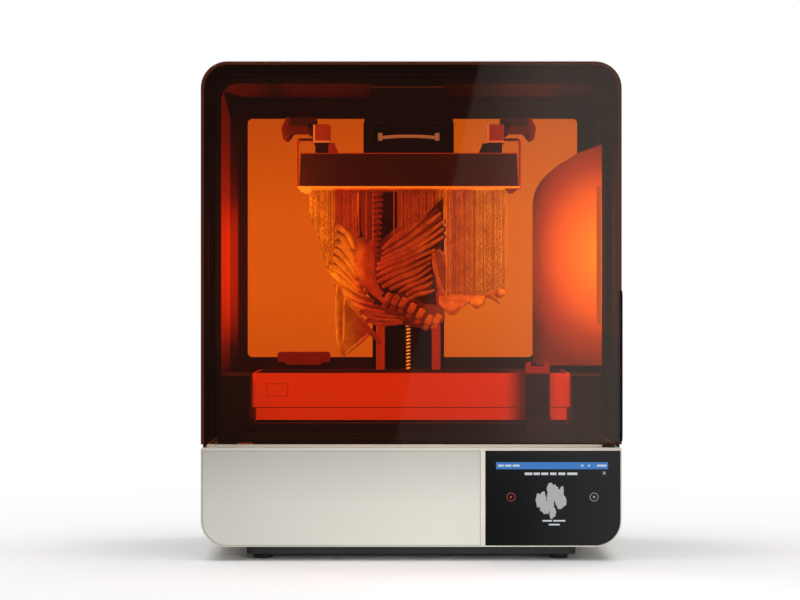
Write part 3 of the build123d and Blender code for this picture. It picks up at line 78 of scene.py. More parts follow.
camera_data = bpy.data.cameras.new("camera")
camera_data.sensor_width = SENSOR_MM
camera_data.lens = LENS_MM
camera_data.clip_end = 60.0
camera = add_object("camera", camera_data)
camera.location = CAMERA_AT
camera.rotation_euler = (math.radians(90), 0, 0)
SCENE.camera = camera
SCENE.view_settings.view_transform = "Standard"
SCENE.cycles.transparent_max_bounces = 24
SCENE.cycles.sample_clamp_indirect = 4.0


# ------------------------------------------------------------------ materials


def new_material(name):
    """An empty node material, with its tree and its output."""
    material = bpy.data.materials.new(name)
    material.use_nodes = True
    tree = material.node_tree
    tree.nodes.clear()
    output = tree.nodes.new("ShaderNodeOutputMaterial")
    return material, tree, output


def feed(tree, socket, value):
    """Sets a socket to a number, vector or colour, or links another socket to it."""
    if isinstance(value, bpy.types.NodeSocket):
        tree.links.new(value, socket)
    elif socket.type == "RGBA":
        socket.default_value = (*value, 1)
    else:
        socket.default_value = value


def add_node(tree, kind, inputs, **settings):
    """A new shader node with its settings, and its inputs set or linked."""
    node = tree.nodes.new("ShaderNode" + kind)
    for name, value in settings.items():
        setattr(node, name, value)
    for key, value in inputs.items():
        feed(tree, node.inputs[key], value)
    return node


def principled(tree, output, inputs):
    """A Principled shader with these inputs as a material's surface."""
    shader = add_node(tree, "BsdfPrincipled", inputs)
    tree.links.new(shader.outputs["BSDF"], output.inputs["Surface"])


def coordinates(tree, kind="Object"):
    """The object's own coordinates, in metres, or its normals."""
    return add_node(tree, "TexCoord", {}).outputs[kind]


def object_axis(tree, axis, kind="Object"):
    """One of the object's own coordinates, or one part of its normal."""
    return add_node(tree, "SeparateXYZ", {0: coordinates(tree, kind)}).outputs[axis]


def noise_field(tree, scale, detail=4.0, stretch=(1, 1, 1)):
    """Noise in the object's own coordinates, in cycles per metre."""
    place = add_node(tree, "Mapping", {"Vector": coordinates(tree), "Scale": stretch})
    inputs = {"Vector": place.outputs["Vector"], "Scale": scale, "Detail": detail}
    return add_node(tree, "TexNoise", inputs).outputs["Fac"]


def remap(tree, value, low, high, out_low, out_high):
    """A value carried from one range to another, held at its ends."""
    ends = {"From Min": low, "From Max": high, "To Min": out_low, "To Max": out_high}
    return add_node(tree, "MapRange", {"Value": value, **ends}).outputs["Result"]


def colour_ramp(tree, value, stops):
    """A colour that follows a value through stops between 0 and 1."""
    ramp = add_node(tree, "ValToRGB", {"Fac": value})
    elements = ramp.color_ramp.elements
    while len(elements) < len(stops):
        elements.new(0.5)
    for element, (at, colour) in zip(elements, stops):
        element.position = at
        element.color = (*colour, 1)
    return ramp.outputs["Color"]


def tint_ramp(tree, noise_value, dark, light):
    """A colour that goes from dark to light with a noise."""
    return colour_ramp(tree, noise_value, ((0.3, dark), (0.7, light)))


def colour_stops(tree, value, stops):
    """A colour that follows a value through stops given in the value's own units."""
    low, high = stops[0][0], stops[-1][0]
    scaled = [((at - low) / (high - low), colour) for at, colour in stops]
    return colour_ramp(tree, remap(tree, value, low, high, 0.0, 1.0), scaled)


def mix_colours(tree, factor, first, second, blend="MIX"):
    """Two colours mixed by a factor; each may be a socket or a plain colour."""
    inputs = {0: factor, 6: first, 7: second}
    return add_node(tree, "Mix", inputs, data_type="RGBA", blend_type=blend).outputs[2]


def fine_bump(tree, height, strength):
    """Normals with a fine relief."""
    inputs = {"Strength": strength, "Distance": 0.0004, "Height": height}
    return add_node(tree, "Bump", inputs).outputs["Normal"]


def surface(
    name,
    colour,
    roughness,
    metallic=0.0,
    spread=0.12,
    cloud=14.0,
    grain=900.0,
    bump=0.06,
    stretch=(1, 1, 1),
    glow=None,
    glow_strength=1.0,
    specular=0.5,
):
    """A finished surface: cloudy colour, grain in its roughness, and a fine bump; a glow, where given, is
    painted light.
    """
    material, tree, output = new_material(name)
    clouds = noise_field(tree, cloud)
    grains = noise_field(tree, grain, 2.0, stretch)
    dark = tuple(c * (1 - spread) for c in colour)
    light = tuple(min(1.0, c * (1 + spread)) for c in colour)
    rough_low, rough_high = roughness * 0.82, min(1.0, roughness * 1.2)
    inputs = {
        "Base Color": tint_ramp(tree, clouds, dark, light),
        "Roughness": remap(tree, grains, 0.3, 0.7, rough_low, rough_high),
        "Normal": fine_bump(tree, grains, bump),
        "Metallic": metallic,
        "Specular IOR Level": specular,
    }
    if glow:
        inputs.update({"Emission Color": glow, "Emission Strength": glow_strength})
    principled(tree, output, inputs)
    return material


def acrylic(name, face_on, edge_on, roughness, fades=()):
    """Tinted clear plastic that darkens where it is seen edge-on."""
    material, tree, output = new_material(name)
    facing = add_node(tree, "LayerWeight", {"Blend": 0.5}).outputs["Facing"]
    tint = colour_ramp(tree, facing, ((0.35, face_on), (0.9, edge_on)))
    for axis, stops in fades:
        fade = colour_stops(tree, object_axis(tree, axis), stops)
        tint = mix_colours(tree, 1.0, tint, fade, "MULTIPLY")
    clear = add_node(tree, "BsdfTransparent", {"Color": tint})
    haze = remap(tree, noise_field(tree, 35.0), 0.3, 0.7, roughness * 0.6, roughness * 1.4)
    gloss = add_node(tree, "BsdfGlossy", {"Roughness": haze, "Color": SHEEN})
    fresnel = add_node(tree, "Fresnel", {"IOR": ACRYLIC_IOR}).outputs["Fac"]
    capped = add_node(tree, "Math", {0: fresnel, 1: SHEEN_CAP}, operation="MINIMUM")
    shaders = {1: clear.outputs["BSDF"], 2: gloss.outputs["BSDF"]}
    mix = add_node(tree, "MixShader", {"Fac": capped.outputs[0], **shaders})
    tree.links.new(mix.outputs["Shader"], output.inputs["Surface"])
    return material


def box_mask(tree, low, high, soft):
    """One inside a box of the object's own space, zero outside, with soft walls."""
    mask = None
    for axis, start, stop in zip("XYZ", low, high):
        place = object_axis(tree, axis)
        for near, far in ((start - soft, start), (stop + soft, stop)):
            if abs(near) > OPEN:
                continue
            step = remap(tree, place, near, far, 0.0, 1.0)
            if mask is None:
                mask = step
            else:
                mask = add_node(tree, "Math", {0: mask, 1: step}, operation="MULTIPLY").outputs[0]
    return mask


def shader_of(material):
    """A material's Principled shader and its tree."""
    tree = material.node_tree
    return tree, next(n for n in tree.nodes if n.type == "BSDF_PRINCIPLED")


def own_light(tree, shader):
    """The light a surface gives now, as a socket or a colour, with its strength folded in."""
    socket, strength = shader.inputs["Emission Color"], shader.inputs["Emission Strength"]
    share = strength.default_value
    strength.default_value = 1.0
    if not socket.links:
        return tuple(c * share for c in socket.default_value[:3])
    before = socket.links[0].from_socket
    if share == 1.0:
        return before
    return mix_colours(tree, 1.0, before, (share, share, share), "MULTIPLY")


def paint_box(material, low, high, soft, colour, emission=None):
    """Repaints the part of a surface that lies in a box, and can light it."""
    tree, shader = shader_of(material)
    mask = box_mask(tree, low, high, soft)
    socket = shader.inputs["Base Color"]
    before = socket.links[0].from_socket
    tree.links.new(mix_colours(tree, mask, before, colour), socket)
    if emission:
        lit = mix_colours(tree, mask, own_light(tree, shader), emission)
        tree.links.new(lit, shader.inputs["Emission Color"])
    return material


def facing_shade(tree, below, level, above):
    """Painted light and shade: multipliers for surfaces that face down, sideways and up."""
    stops = ((-0.9, below), (-0.1, level), (0.25, level), (0.9, above))
    return colour_stops(tree, object_axis(tree, "Z", "Normal"), stops)


def spread_colours(material, across, depths, glow_share, facing=None):
    """Colours that change along X, with painted light in them, and darken with depth along Y as painted
    shade; a share of them is given off as painted glow.
    """
    tree, shader = shader_of(material)
    spread = colour_stops(tree, object_axis(tree, "X"), across)
    shade = colour_stops(tree, object_axis(tree, "Y"), depths)
    # Painted shade: darker with depth along Y.
    deep = mix_colours(tree, 1.0, spread, shade, "MULTIPLY")
    clouds = remap(tree, noise_field(tree, 60.0), 0.3, 0.7, 0.0, 1.0)
    mottled_and_shaded = mix_colours(tree, clouds, mix_colours(tree, 1.0, deep, MOTTLE, "MULTIPLY"), deep)
    # Painted light and shade by the way a surface faces.
    if facing:
        mottled_and_shaded = mix_colours(tree, 1.0, mottled_and_shaded, facing_shade(tree, *facing), "MULTIPLY")
    tree.links.new(mottled_and_shaded, shader.inputs["Base Color"])
    tree.links.new(mottled_and_shaded, shader.inputs["Emission Color"])
    shader.inputs["Emission Strength"].default_value = glow_share


UNLIT_SHARE = 0.12


def lit_shape(name, colour, strength):
    """A lit patch of a display, with a faint pixel texture."""
    material, tree, output = new_material(name)
    unlit = tuple(c * UNLIT_SHARE for c in colour)
    darker = tuple(c * 0.8 for c in unlit)
    base = tint_ramp(tree, noise_field(tree, 1500.0, 1.0), darker, unlit)
    light = {"Emission Color": colour, "Emission Strength": strength}
    principled(tree, output, {"Base Color": base, "Roughness": 0.3, **light})
    return material


def cover_with_painted_light(name, colour, centre, reach, stops):
    """A moulded cover with painted light on it: an emission brightest about one place, which stands in for
    the light that falls on its rounded face.
    """
    material, tree, output = new_material(name)
    shift, scale = tuple(-c / r for c, r in zip(centre, reach)), tuple(1 / r for r in reach)
    place = add_node(tree, "Mapping", {"Vector": coordinates(tree), "Location": shift, "Scale": scale})
    distance = add_node(tree, "VectorMath", {0: place.outputs["Vector"]}, operation="LENGTH")
    dark = tuple(c * 0.85 for c in colour)
    inputs = {
        "Base Color": tint_ramp(tree, noise_field(tree, 9.0), dark, colour),
        "Emission Color": colour_stops(tree, distance.outputs["Value"], stops),
        "Emission Strength": 1.3,
        "Roughness": 0.38,
        "Normal": fine_bump(tree, noise_field(tree, 1200.0, 2.0), 0.05),
    }
    principled(tree, output, inputs)
    return material


LID_FACE, LID_EDGE = (0.894, 0.566, 0.245), (0.08, 0.028, 0.02)
PANE_FACE, PANE_EDGE = (0.985, 0.645, 0.215), (0.5, 0.1, 0.02)
PANE_FADES = (
    ("Z", ((0.30, (0.93, 0.90, 0.9)), (0.42, (1, 1, 1)), (0.56, (1, 1, 1)), (0.735, (0.86, 0.82, 0.8)))),
    ("X", ((-0.30, (1, 0.88, 0.97)), (0.02, (1, 0.89, 0.97)), (0.12, (1, 1, 1)), (0.22, (0.99, 1, 1)))),
)
# The bay cover's painted light, brightest about one place near its right end and fading with distance from
# it.
BAY_COLOUR, BAY_CENTRE, BAY_REACH = (0.30, 0.05, 0.02), (0.326, 0.0, 0.49), (0.125, 0.8, 0.163)
BAY_PAINTED_LIGHT = (
    (0.0, (1.0, 0.72, 0.07)),
    (0.25, (1.0, 0.50, 0.05)),
    (0.55, (0.95, 0.27, 0.035)),
    (0.90, (0.30, 0.06, 0.016)),
    (1.2, (0.04, 0.01, 0.006)),
)

ALONG_Z = (1, 1, 0.04)
FINISHES = {
    "beige_shell": dict(colour=(0.62, 0.585, 0.52), roughness=0.42, spread=0.02, bump=0.10, grain=1400),
    "fascia_beige": dict(
        colour=(0.68, 0.663, 0.60), roughness=0.34, metallic=0.1, spread=0.02,
        cloud=3.0, grain=1600, bump=0.04,
    ),
    "black_glass": dict(colour=(0.005, 0.005, 0.006), roughness=0.08, spread=0.2, bump=0.0),
    "charcoal_plastic": dict(colour=(0.035, 0.035, 0.036), roughness=0.5, bump=0.14, grain=1100),
    # The slight red cast in this black is painted light for the chamber's red glow.
    "black_plastic": dict(colour=(0.024, 0.011, 0.011), roughness=0.5, bump=0.12, grain=1100),
    "rubber_black": dict(colour=(0.014, 0.014, 0.014), roughness=0.75, bump=0.2, grain=700),
    "liner_dark": dict(colour=(0.045, 0.012, 0.009), roughness=0.28, bump=0.05, spread=0.2),
    # The slight red cast in this black is painted light for the chamber's red glow.
    "black_metal": dict(
        colour=(0.028, 0.012, 0.012), roughness=0.4, metallic=0.3, spread=0.2, cloud=20, grain=1300, bump=0.08
    ),
    # The tank's glow is painted light for the light that falls on its front.
    "tank_orange": dict(
        colour=(0.42, 0.05, 0.015), roughness=0.35, spread=0.05, bump=0.04, glow=(0.53, 0.046, 0.010)
    ),
    "film_clear": dict(colour=(0.75, 0.5, 0.3), roughness=0.2, bump=0.02),
    "steel": dict(
        colour=(0.42, 0.40, 0.38), roughness=0.35, metallic=0.7, spread=0.1, cloud=30, grain=600, bump=0.05,
        stretch=ALONG_Z,
    ),
    "bright_steel": dict(
        colour=(0.85, 0.78, 0.70), roughness=0.25, metallic=0.8, spread=0.08, cloud=30, grain=800, bump=0.04
    ),
    # The flex plate's glow is painted light.
    "spring_steel": dict(
        colour=(0.86, 0.62, 0.32), roughness=0.35, metallic=0.3, spread=0.08, cloud=20, bump=0.04,
        glow=(1.0, 0.42, 0.07), glow_strength=0.85,
    ),
    "platform_metal": dict(
        colour=(0.085, 0.018, 0.016), roughness=0.45, metallic=0.2, cloud=18, grain=1300, bump=0.07
    ),
    "lever_red": dict(colour=(0.06, 0.012, 0.010), roughness=0.4),
    "board_green": dict(colour=(0.02, 0.12, 0.06), roughness=0.4, spread=0.3, cloud=60),
    "aluminium_bare": dict(
        colour=(0.62, 0.62, 0.63), roughness=0.35, metallic=0.9, spread=0.08, cloud=30, grain=700
    ),
    "resin_print": dict(colour=(0.85, 0.42, 0.14), roughness=0.36, spread=0.2, cloud=60, bump=0.1),
    "resin_struts": dict(colour=(0.88, 0.58, 0.22), roughness=0.4, spread=0.25, cloud=70),
    "cartridge_grey": dict(colour=(0.07, 0.07, 0.075), roughness=0.42, bump=0.1),
    "belt_black": dict(colour=(0.02, 0.02, 0.02), roughness=0.7, bump=0.2, grain=500),
    "hinge_black": dict(colour=(0.02, 0.02, 0.02), roughness=0.35, metallic=0.5, bump=0.05),
    "bracket_dark": dict(colour=(0.04, 0.014, 0.012), roughness=0.4),
    # The level sensor's glow is painted light.
    "sensor_red": dict(colour=(0.10, 0.012, 0.006), roughness=0.4, glow=(0.17, 0.008, 0.0)),
    # Steel rails: their red colour and glow are painted light for the chamber's red light on them.
    "rail_painted_red_light": dict(
        colour=(0.45, 0.10, 0.06), roughness=0.3, metallic=0.4, spread=0.1, cloud=30, grain=600, bump=0.05,
        stretch=ALONG_Z, glow=(0.22, 0.015, 0.0),
    ),
    # The screw's crest highlight: a painted highlight with a glow.
    "thread_crest_highlight": dict(
        colour=(0.9, 0.7, 0.5), roughness=0.3, metallic=0.3, bump=0.02,
        glow=(1.0, 0.75, 0.35), glow_strength=0.75,
    ),
    "thread_root": dict(colour=(0.16, 0.04, 0.02), roughness=0.4, metallic=0.3, bump=0.02),
    "lock_dark": dict(colour=(0.02, 0.015, 0.015), roughness=0.35, metallic=0.3, bump=0.03),
    "arm_dark": dict(colour=(0.035, 0.012, 0.01), roughness=0.42),
}
MATERIALS = {name: surface(name, **finish) for name, finish in FINISHES.items()}
MATERIALS["amber_clear"] = acrylic("amber_clear", LID_FACE, LID_EDGE, 0.02)
MATERIALS["amber_window"] = acrylic("amber_window", PANE_FACE, PANE_EDGE, 0.03, PANE_FADES)
MATERIALS["bay_orange"] = cover_with_painted_light("bay_orange", BAY_COLOUR, BAY_CENTRE, BAY_REACH, BAY_PAINTED_LIGHT)
MATERIALS["light_strip"] = lit_shape("light_strip", (0.75, 0.25, 0.06), 0.8)

# Colour of the printed bones along X, partly the resin's colour and partly painted light: the brighter amber
# stands in for light that shines through the translucent resin.
BONE_STOPS = (
    (-0.155, (0.92, 0.60, 0.05)),
    (-0.100, (0.90, 0.54, 0.05)),
    (-0.086, (0.84, 0.30, 0.05)),
    (-0.072, (0.62, 0.11, 0.04)),
    (-0.035, (0.44, 0.08, 0.05)),
    (0.010, (0.60, 0.17, 0.07)),
    (0.046, (0.92, 0.38, 0.09)),
    (0.080, (1.0, 0.50, 0.10)),
    (0.160, (1.0, 0.62, 0.09)),
)
# Colour of the supports along X, partly the resin's colour and partly painted light: the brighter amber
# stands in for light that shines through the translucent resin.
STRUT_STOPS = (
    (-0.165, (0.92, 0.62, 0.06)),
    (-0.128, (0.90, 0.52, 0.06)),
    (-0.121, (0.56, 0.07, 0.02)),
    (-0.098, (0.66, 0.12, 0.03)),
    (-0.030, (0.56, 0.12, 0.04)),
    (0.040, (0.62, 0.16, 0.05)),
    (0.046, (0.84, 0.42, 0.08)),
    (0.072, (0.80, 0.32, 0.06)),
    (0.098, (0.86, 0.44, 0.08)),
    (0.108, (0.94, 0.64, 0.12)),
    (0.160, (0.94, 0.68, 0.12)),
)
# Painted shade: the print darkens with depth along Y.
BONE_DEPTH_SHADE = (
    (-0.118, (1, 1, 1)),
    (-0.098, (0.8, 0.7, 0.7)),
    (-0.075, (0.30, 0.2, 0.2)),
    (-0.03, (0.12, 0.07, 0.07)),
    (0.04, (0.08, 0.05, 0.05)),
)
STRUT_DEPTH_SHADE = (
    (-0.122, (1.0, 1.0, 1.0)),
    (-0.112, (0.74, 0.66, 0.6)),
    (-0.06, (0.6, 0.5, 0.45)),
    (0.03, (0.5, 0.4, 0.35)),
)
# Painted light and shade: surfaces that face down are darker, those that face up are lit.
BONE_FACING_SHADE = ((0.42, 0.22, 0.2), (0.92, 0.86, 0.9), (1.0, 1.0, 1.0))
FASCIA_SHADE = ((0.02, (1.0, 1.0, 1.0)), (0.09, (0.93, 0.93, 0.93)), (0.175, (0.71, 0.71, 0.71)))


def shade_by_height(material, stops):
    """Darkens a surface toward the top, where the cover's edge shades it."""
    tree, shader = shader_of(material)
    socket = shader.inputs["Base Color"]
    shade = colour_stops(tree, object_axis(tree, "Z"), stops)
    tree.links.new(mix_colours(tree, 1.0, socket.links[0].from_socket, shade, "MULTIPLY"), socket)


shade_by_height(MATERIALS["fascia_beige"], FASCIA_SHADE)
# The print gives off about half of its colour as painted glow.
spread_colours(MATERIALS["resin_print"], BONE_STOPS, BONE_DEPTH_SHADE, 0.48, BONE_FACING_SHADE)
spread_colours(MATERIALS["resin_struts"], STRUT_STOPS, STRUT_DEPTH_SHADE, 0.50)


def light_along(material, side_axis, reach, axis, levels):
    """Adds light to a surface on one side of a plane; its red and green change along another axis."""
    tree, shader = shader_of(material)
    mask = remap(tree, object_axis(tree, side_axis), *reach, 0.0, 1.0)
    stops = [(at, (red, green, 0.0)) for at, red, green in levels]
    lit = mix_colours(tree, mask, (0.0, 0.0, 0.0), colour_stops(tree, object_axis(tree, axis), stops))
    both = mix_colours(tree, 1.0, own_light(tree, shader), lit, "ADD")
    tree.links.new(both, shader.inputs["Emission Color"])


WALL_AT, STRIP_AT, CEILING_AT = (-0.3125, -0.3138), (-0.2975, -0.3015), (0.7605, 0.7640)
WALL_LIGHT = (
    (0.29, 0.03, 0.002), (0.34, 0.16, 0.010), (0.38, 0.27, 0.017), (0.48, 0.34, 0.020),
    (0.60, 0.26, 0.016), (0.68, 0.17, 0.009), (0.78, 0.10, 0.007),
)
STRIP_LIGHT = (
    (0.29, 0.0, 0.0), (0.33, 0.03, 0.002), (0.355, 0.16, 0.008), (0.39, 0.34, 0.020), (0.44, 0.50, 0.032),
    (0.52, 0.50, 0.032), (0.555, 0.37, 0.020), (0.59, 0.10, 0.004), (0.64, 0.03, 0.001), (0.70, 0.0, 0.0),
)
CEILING_LIGHT = (
    (-0.32, 0.10, 0.005), (-0.27, 0.07, 0.004), (-0.23, 0.015, 0.001), (-0.20, 0.045, 0.003),
    (-0.10, 0.04, 0.002), (-0.05, 0.01, 0.001), (0.06, 0.008, 0.001), (0.14, 0.02, 0.002),
    (0.22, 0.06, 0.005), (0.26, 0.02, 0.002), (0.30, 0.015, 0.001),
)


def paint_liner():
    """The red light that lies on the chamber's left wall, its rear strip and its ceiling."""
    liner = MATERIALS["liner_dark"]
    light_along(liner, "X", WALL_AT, "Z", WALL_LIGHT)
    light_along(liner, "X", STRIP_AT, "Z", STRIP_LIGHT)
    light_along(liner, "Z", CEILING_AT, "X", CEILING_LIGHT)


TANK_WALL, TANK_PAST = 0.004, 0.01
ARM_SHADE = (0.045, 0.012)
TAG_LOW, TAG_HIGH = (-0.2335, -0.3, 0.256), (-0.1965, -0.1705, 0.278)


def paint_tank():
    """The tank is darker inside, with little of its painted glow there, and in painted shade beside the mixer
    arm; its tag's raised frame is painted darker, with a weaker painted glow.
    """
    low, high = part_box("resin_tank")
    tank = MATERIALS["tank_orange"]
    inside_low = (low[0] + TANK_WALL, low[1] + TANK_WALL, low[2] - TANK_PAST)
    inside_high = (high[0] - TANK_WALL, high[1] - TANK_WALL, high[2] + TANK_PAST)
    # Darker inside the tank, with little painted glow there.
    paint_box(tank, inside_low, inside_high, 0.0015, (0.05, 0.008, 0.004), (0.01, 0.001, 0.0))
    arm_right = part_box("mixer_arm")[1][0]
    shade_left, shade_right = (arm_right - reach for reach in ARM_SHADE)
    shade_low, shade_high = (shade_left, -FAR, -FAR), (shade_right, FAR, FAR)
    # Painted shade on the tank beside the mixer arm.
    paint_box(tank, shade_low, shade_high, 0.024, (0.08, 0.01, 0.006), (0.09, 0.008, 0.003))
    # The tag's raised frame, darker and with a weaker painted glow.
    paint_box(tank, TAG_LOW, TAG_HIGH, 0.0003, (0.16, 0.02, 0.008), (0.36, 0.03, 0.006))


RIM_SKIN, RIM_LIP, RIM_REAR = 0.0006, 0.004, 0.058


def paint_rim():
    """The base's rim is painted dark under the cover, as painted shade."""
    edge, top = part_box("lid_shell")[0][1] + RIM_LIP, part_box("base_rim")[1][2]
    rim = surface("rim_painted_shade", **FINISHES["beige_shell"])
    # Painted shade on the rim's top where the cover hangs over it.
    rim_shade_low, rim_shade_high = (-FAR, edge, top - RIM_SKIN), (FAR, RIM_REAR, FAR)
    MATERIALS["rim"] = paint_box(rim, rim_shade_low, rim_shade_high, 0.0003, (0.02, 0.012, 0.012))


def paint_band(material, across, heights, soft, colour, emission):
    """Repaints a surface between two places across X and two heights."""
    low, high = (across[0], -FAR, heights[0]), (across[1], FAR, heights[1])
    paint_box(material, low, high, soft, colour, emission)


EVERYWHERE = (-FAR, FAR)
# Painted light on the levers.
LEVER_LIGHT_PATCHES = (
    ((0.157, 0.188), (0.55, 0.6732), 0.0006, (0.5, 0.10, 0.04), (0.20, 0.018, 0.004)),
    ((0.199, 0.230), (0.55, 0.8), 0.006, (0.14, 0.014, 0.008), (0.10, 0.005, 0.0)),
    ((0.163, 0.199), (0.6835, 0.694), 0.003, (0.10, 0.012, 0.008), (0.05, 0.003, 0.0)),
)
BLOCK_LIT = (0.30, 0.05, 0.035), (0.19, 0.020, 0.008)
TRIM_LIT = (0.6, 0.25, 0.16), (0.60, 0.24, 0.25)
FOOT_LIT = (0.30, 0.05, 0.03), (0.22, 0.016, 0.004)
PIVOT_X, BLOCK_HALF, BLOCK_LOW, BLOCK_TOP, TRIM = 0.1427, 0.0138, 0.6695, 0.6985, 0.0028
FOOT_X, FOOT_WIDTH, FOOT_HEIGHTS = -0.131, 0.03, (0.6, 0.666)


def paint_brackets(middle):
    """Painted light on the brackets: lit blocks with a painted highlight along their left and bottom edges,
    and the left one's lit foot.
    """
    brackets = MATERIALS["bracket_dark"]
    for side in (-1, 1):
        pivot = middle + side * PIVOT_X
        left, right = pivot - BLOCK_HALF, pivot + BLOCK_HALF
        paint_band(brackets, (left, right), (BLOCK_LOW, BLOCK_TOP), 0.0004, *BLOCK_LIT)
        paint_band(brackets, (left - 0.001, left + TRIM), (BLOCK_LOW, BLOCK_TOP), 0.0004, *TRIM_LIT)
        paint_band(brackets, (left - 0.001, right), (BLOCK_LOW, BLOCK_LOW + TRIM), 0.0004, *TRIM_LIT)
    foot = middle + FOOT_X
    paint_band(brackets, (foot, foot + FOOT_WIDTH), FOOT_HEIGHTS, 0.0008, *FOOT_LIT)


def paint_mechanism():
    """Painted light where the chamber's light catches the levers, their brackets, the platform's top edge,
    the lock's bar and the mixer arm's top; the plate's right end is painted darker, with less painted glow.
    """
    middle = sum(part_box("platform_body")[i][0] for i in (0, 1)) / 2
    for side in (-1, 1):
        for reach, heights, soft, colour, glow in LEVER_LIGHT_PATCHES:
            across = sorted(middle + side * x for x in reach)
            paint_band(MATERIALS["lever_red"], across, heights, soft, colour, glow)
    paint_brackets(middle)
    body, plate, lock, arm = (
        MATERIALS[name] for name in ("platform_metal", "spring_steel", "lock_dark", "arm_dark")
    )
    # Painted highlight along the platform's top edge.
    paint_band(body, EVERYWHERE, (0.6472, 0.7), 0.0006, (0.25, 0.04, 0.03), (0.13, 0.010, 0.006))
    # The plate's right end is painted darker, with less painted glow.
    paint_band(plate, (0.10, FAR), (0.5, 0.5912), 0.0006, (0.20, 0.05, 0.035), (0.14, 0.02, 0.01))
    # Painted highlight on the lock's bar.
    paint_band(lock, EVERYWHERE, (0.6712, 0.684), 0.0005, (0.35, 0.2, 0.16), (0.30, 0.24, 0.42))
    # Painted light on the mixer arm's top.
    paint_band(arm, EVERYWHERE, (0.296, 0.35), 0.004, (0.30, 0.04, 0.03), (0.16, 0.014, 0.006))


paint_liner()
paint_tank()
paint_rim()
paint_mechanism()
OWN_FINISH = {
    "base_rim": "rim",
    "hinge_rear": "hinge_black",
    "hinge_lid": "hinge_black",
    "release_brackets": "bracket_dark",
    "lock_lever": "lock_dark",
    "level_sensor": "sensor_red",
    "z_rails": "rail_painted_red_light",
    "mixer_rail": "hinge_black",
    "mixer_arm": "arm_dark",
    "drive_pulley": "hinge_black",
    "idler_pulley": "hinge_black",
}

for part in frame["record"]["subparts"]:
    slots = NODES[part["node"]].data.materials
    finish = MATERIALS[OWN_FINISH.get(part["node"], part["material_slot"])]
    for index in range(len(slots)):
        slots[index] = finish
    if not slots:
        slots.append(finish)


# ------------------------------------------------------------------ mesh helpers


def ring_faces(rings, sides, capped=True):
    """Faces that join rings of vertices one after another, and the two end faces."""
    faces = []
    for ring in range(rings - 1):
        for k in range(sides):
            a, b = ring * sides + k, ring * sides + (k + 1) % sides
            faces.append((a, b, b + sides, a + sides))
    if capped:
        faces.append(tuple(range(sides)))
        faces.append(tuple(range((rings - 1) * sides, rings * sides)))
    return faces


def taken_from(shape):
    """Vertices and faces of a working mesh, which is freed."""
    shape.verts.index_update()
    verts = [v.co.copy() for v in shape.verts]
    faces = [tuple(v.index for v in f.verts) for f in shape.faces]
    shape.free()
    return verts, faces


class Shape:
    """Collects vertices and faces, then makes one piece of them."""

    def __init__(self):
        self.verts = []
        self.faces = []

    def take(self, verts, faces):
        base = len(self.verts)
        self.verts.extend(verts)
        self.faces.extend([tuple(base + i for i in face) for face in faces])

    def piece(self, name, material, body, slot, smooth=True):
        mesh = bpy.data.meshes.new(name)
        mesh.from_pydata([tuple(v) for v in self.verts], [], self.faces)
        mesh.update()
        tidy = bmesh.new()
        tidy.from_mesh(mesh)
        bmesh.ops.recalc_face_normals(tidy, faces=tidy.faces)
        tidy.to_mesh(mesh)
        tidy.free()
        mesh.materials.append(MATERIALS[material] if isinstance(material, str) else material)
        for polygon in mesh.polygons:
            polygon.use_smooth = smooth
        thing = add_object(name, mesh)
        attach(thing, body)
        return thing


def spline(points, steps):
    """Points along a smooth curve through the given points."""
    points = [Vector(p) for p in points]
    ends = [2 * points[0] - points[1]] + points + [2 * points[-1] - points[-2]]
    line = []
    for i in range(1, len(ends) - 2):
        a, b, c, d = ends[i - 1 : i + 3]
        for step in range(steps):
            t = step / steps
            line.append(
                0.5
                * (
                    2 * b
                    + (c - a) * t
                    + (2 * a - 5 * b + 4 * c - d) * t * t
                    + (3 * b - a - 3 * c + d) * t**3
                )
            )
    line.append(points[-1])
    return line


def tube(line, radius, sides=10, flat=1.0, taper=None):
    """Vertices and faces of a closed tube along a line; flat squeezes it along Y."""
    verts = []
    count = len(line)
    for i, at in enumerate(line):
        ahead = line[min(i + 1, count - 1)] - line[max(i - 1, 0)]
        ahead.normalize()
        side = ahead.cross(Vector((0, 1, 0)))
        if side.length < 0.05:
            side = ahead.cross(Vector((1, 0, 0)))
        side.normalize()
        other = ahead.cross(side)
        size = radius * (taper(i / (count - 1)) if taper else 1.0)
        for k in range(sides):
            angle = 2 * math.pi * k / sides
            verts.append(
                at + side * math.cos(angle) * size + other * math.sin(angle) * size * flat
            )
    return verts, ring_faces(count, sides)


def lump(centre, radii, seed, rough=0.12, rings=8, sides=12):
    """Vertices and faces of an uneven rounded knob."""
    verts = []
    centre = Vector(centre)
    for ring in range(1, rings):
        tilt = math.pi * ring / rings
        for k in range(sides):
            turn = 2 * math.pi * k / sides
            way = Vector(
                (math.sin(tilt) * math.cos(turn), math.sin(tilt) * math.sin(turn), math.cos(tilt))
            )
            swell = 1 + rough * noise.noise(way * 1.7 + Vector((seed, seed * 0.37, 0)))
            verts.append(centre + Vector(w * r * swell for w, r in zip(way, radii)))
    faces = ring_faces(rings - 1, sides, capped=False)
    top, bottom = len(verts), len(verts) + 1
    verts.append(centre + Vector((0, 0, radii[2])))
    verts.append(centre - Vector((0, 0, radii[2])))
    for k in range(sides):
        faces.append((top, (k + 1) % sides, k))
        last = (rings - 2) * sides
        faces.append((bottom, last + k, last + (k + 1) % sides))
    return verts, faces


def bevelled_box(low, high, radius, segments=2):
    """Vertices and faces of a box with rounded edges."""
    low, high = Vector(low), Vector(high)
    shape = bmesh.new()
    bmesh.ops.create_cube(shape, size=1.0)
    size = high - low
    middle = (high + low) / 2
    for v in shape.verts:
        v.co = Vector(c * s for c, s in zip(v.co, size)) + middle
    bmesh.ops.bevel(
        shape, geom=list(shape.edges), offset=radius, segments=segments, profile=0.5, affect="EDGES"
    )
    return taken_from(shape)


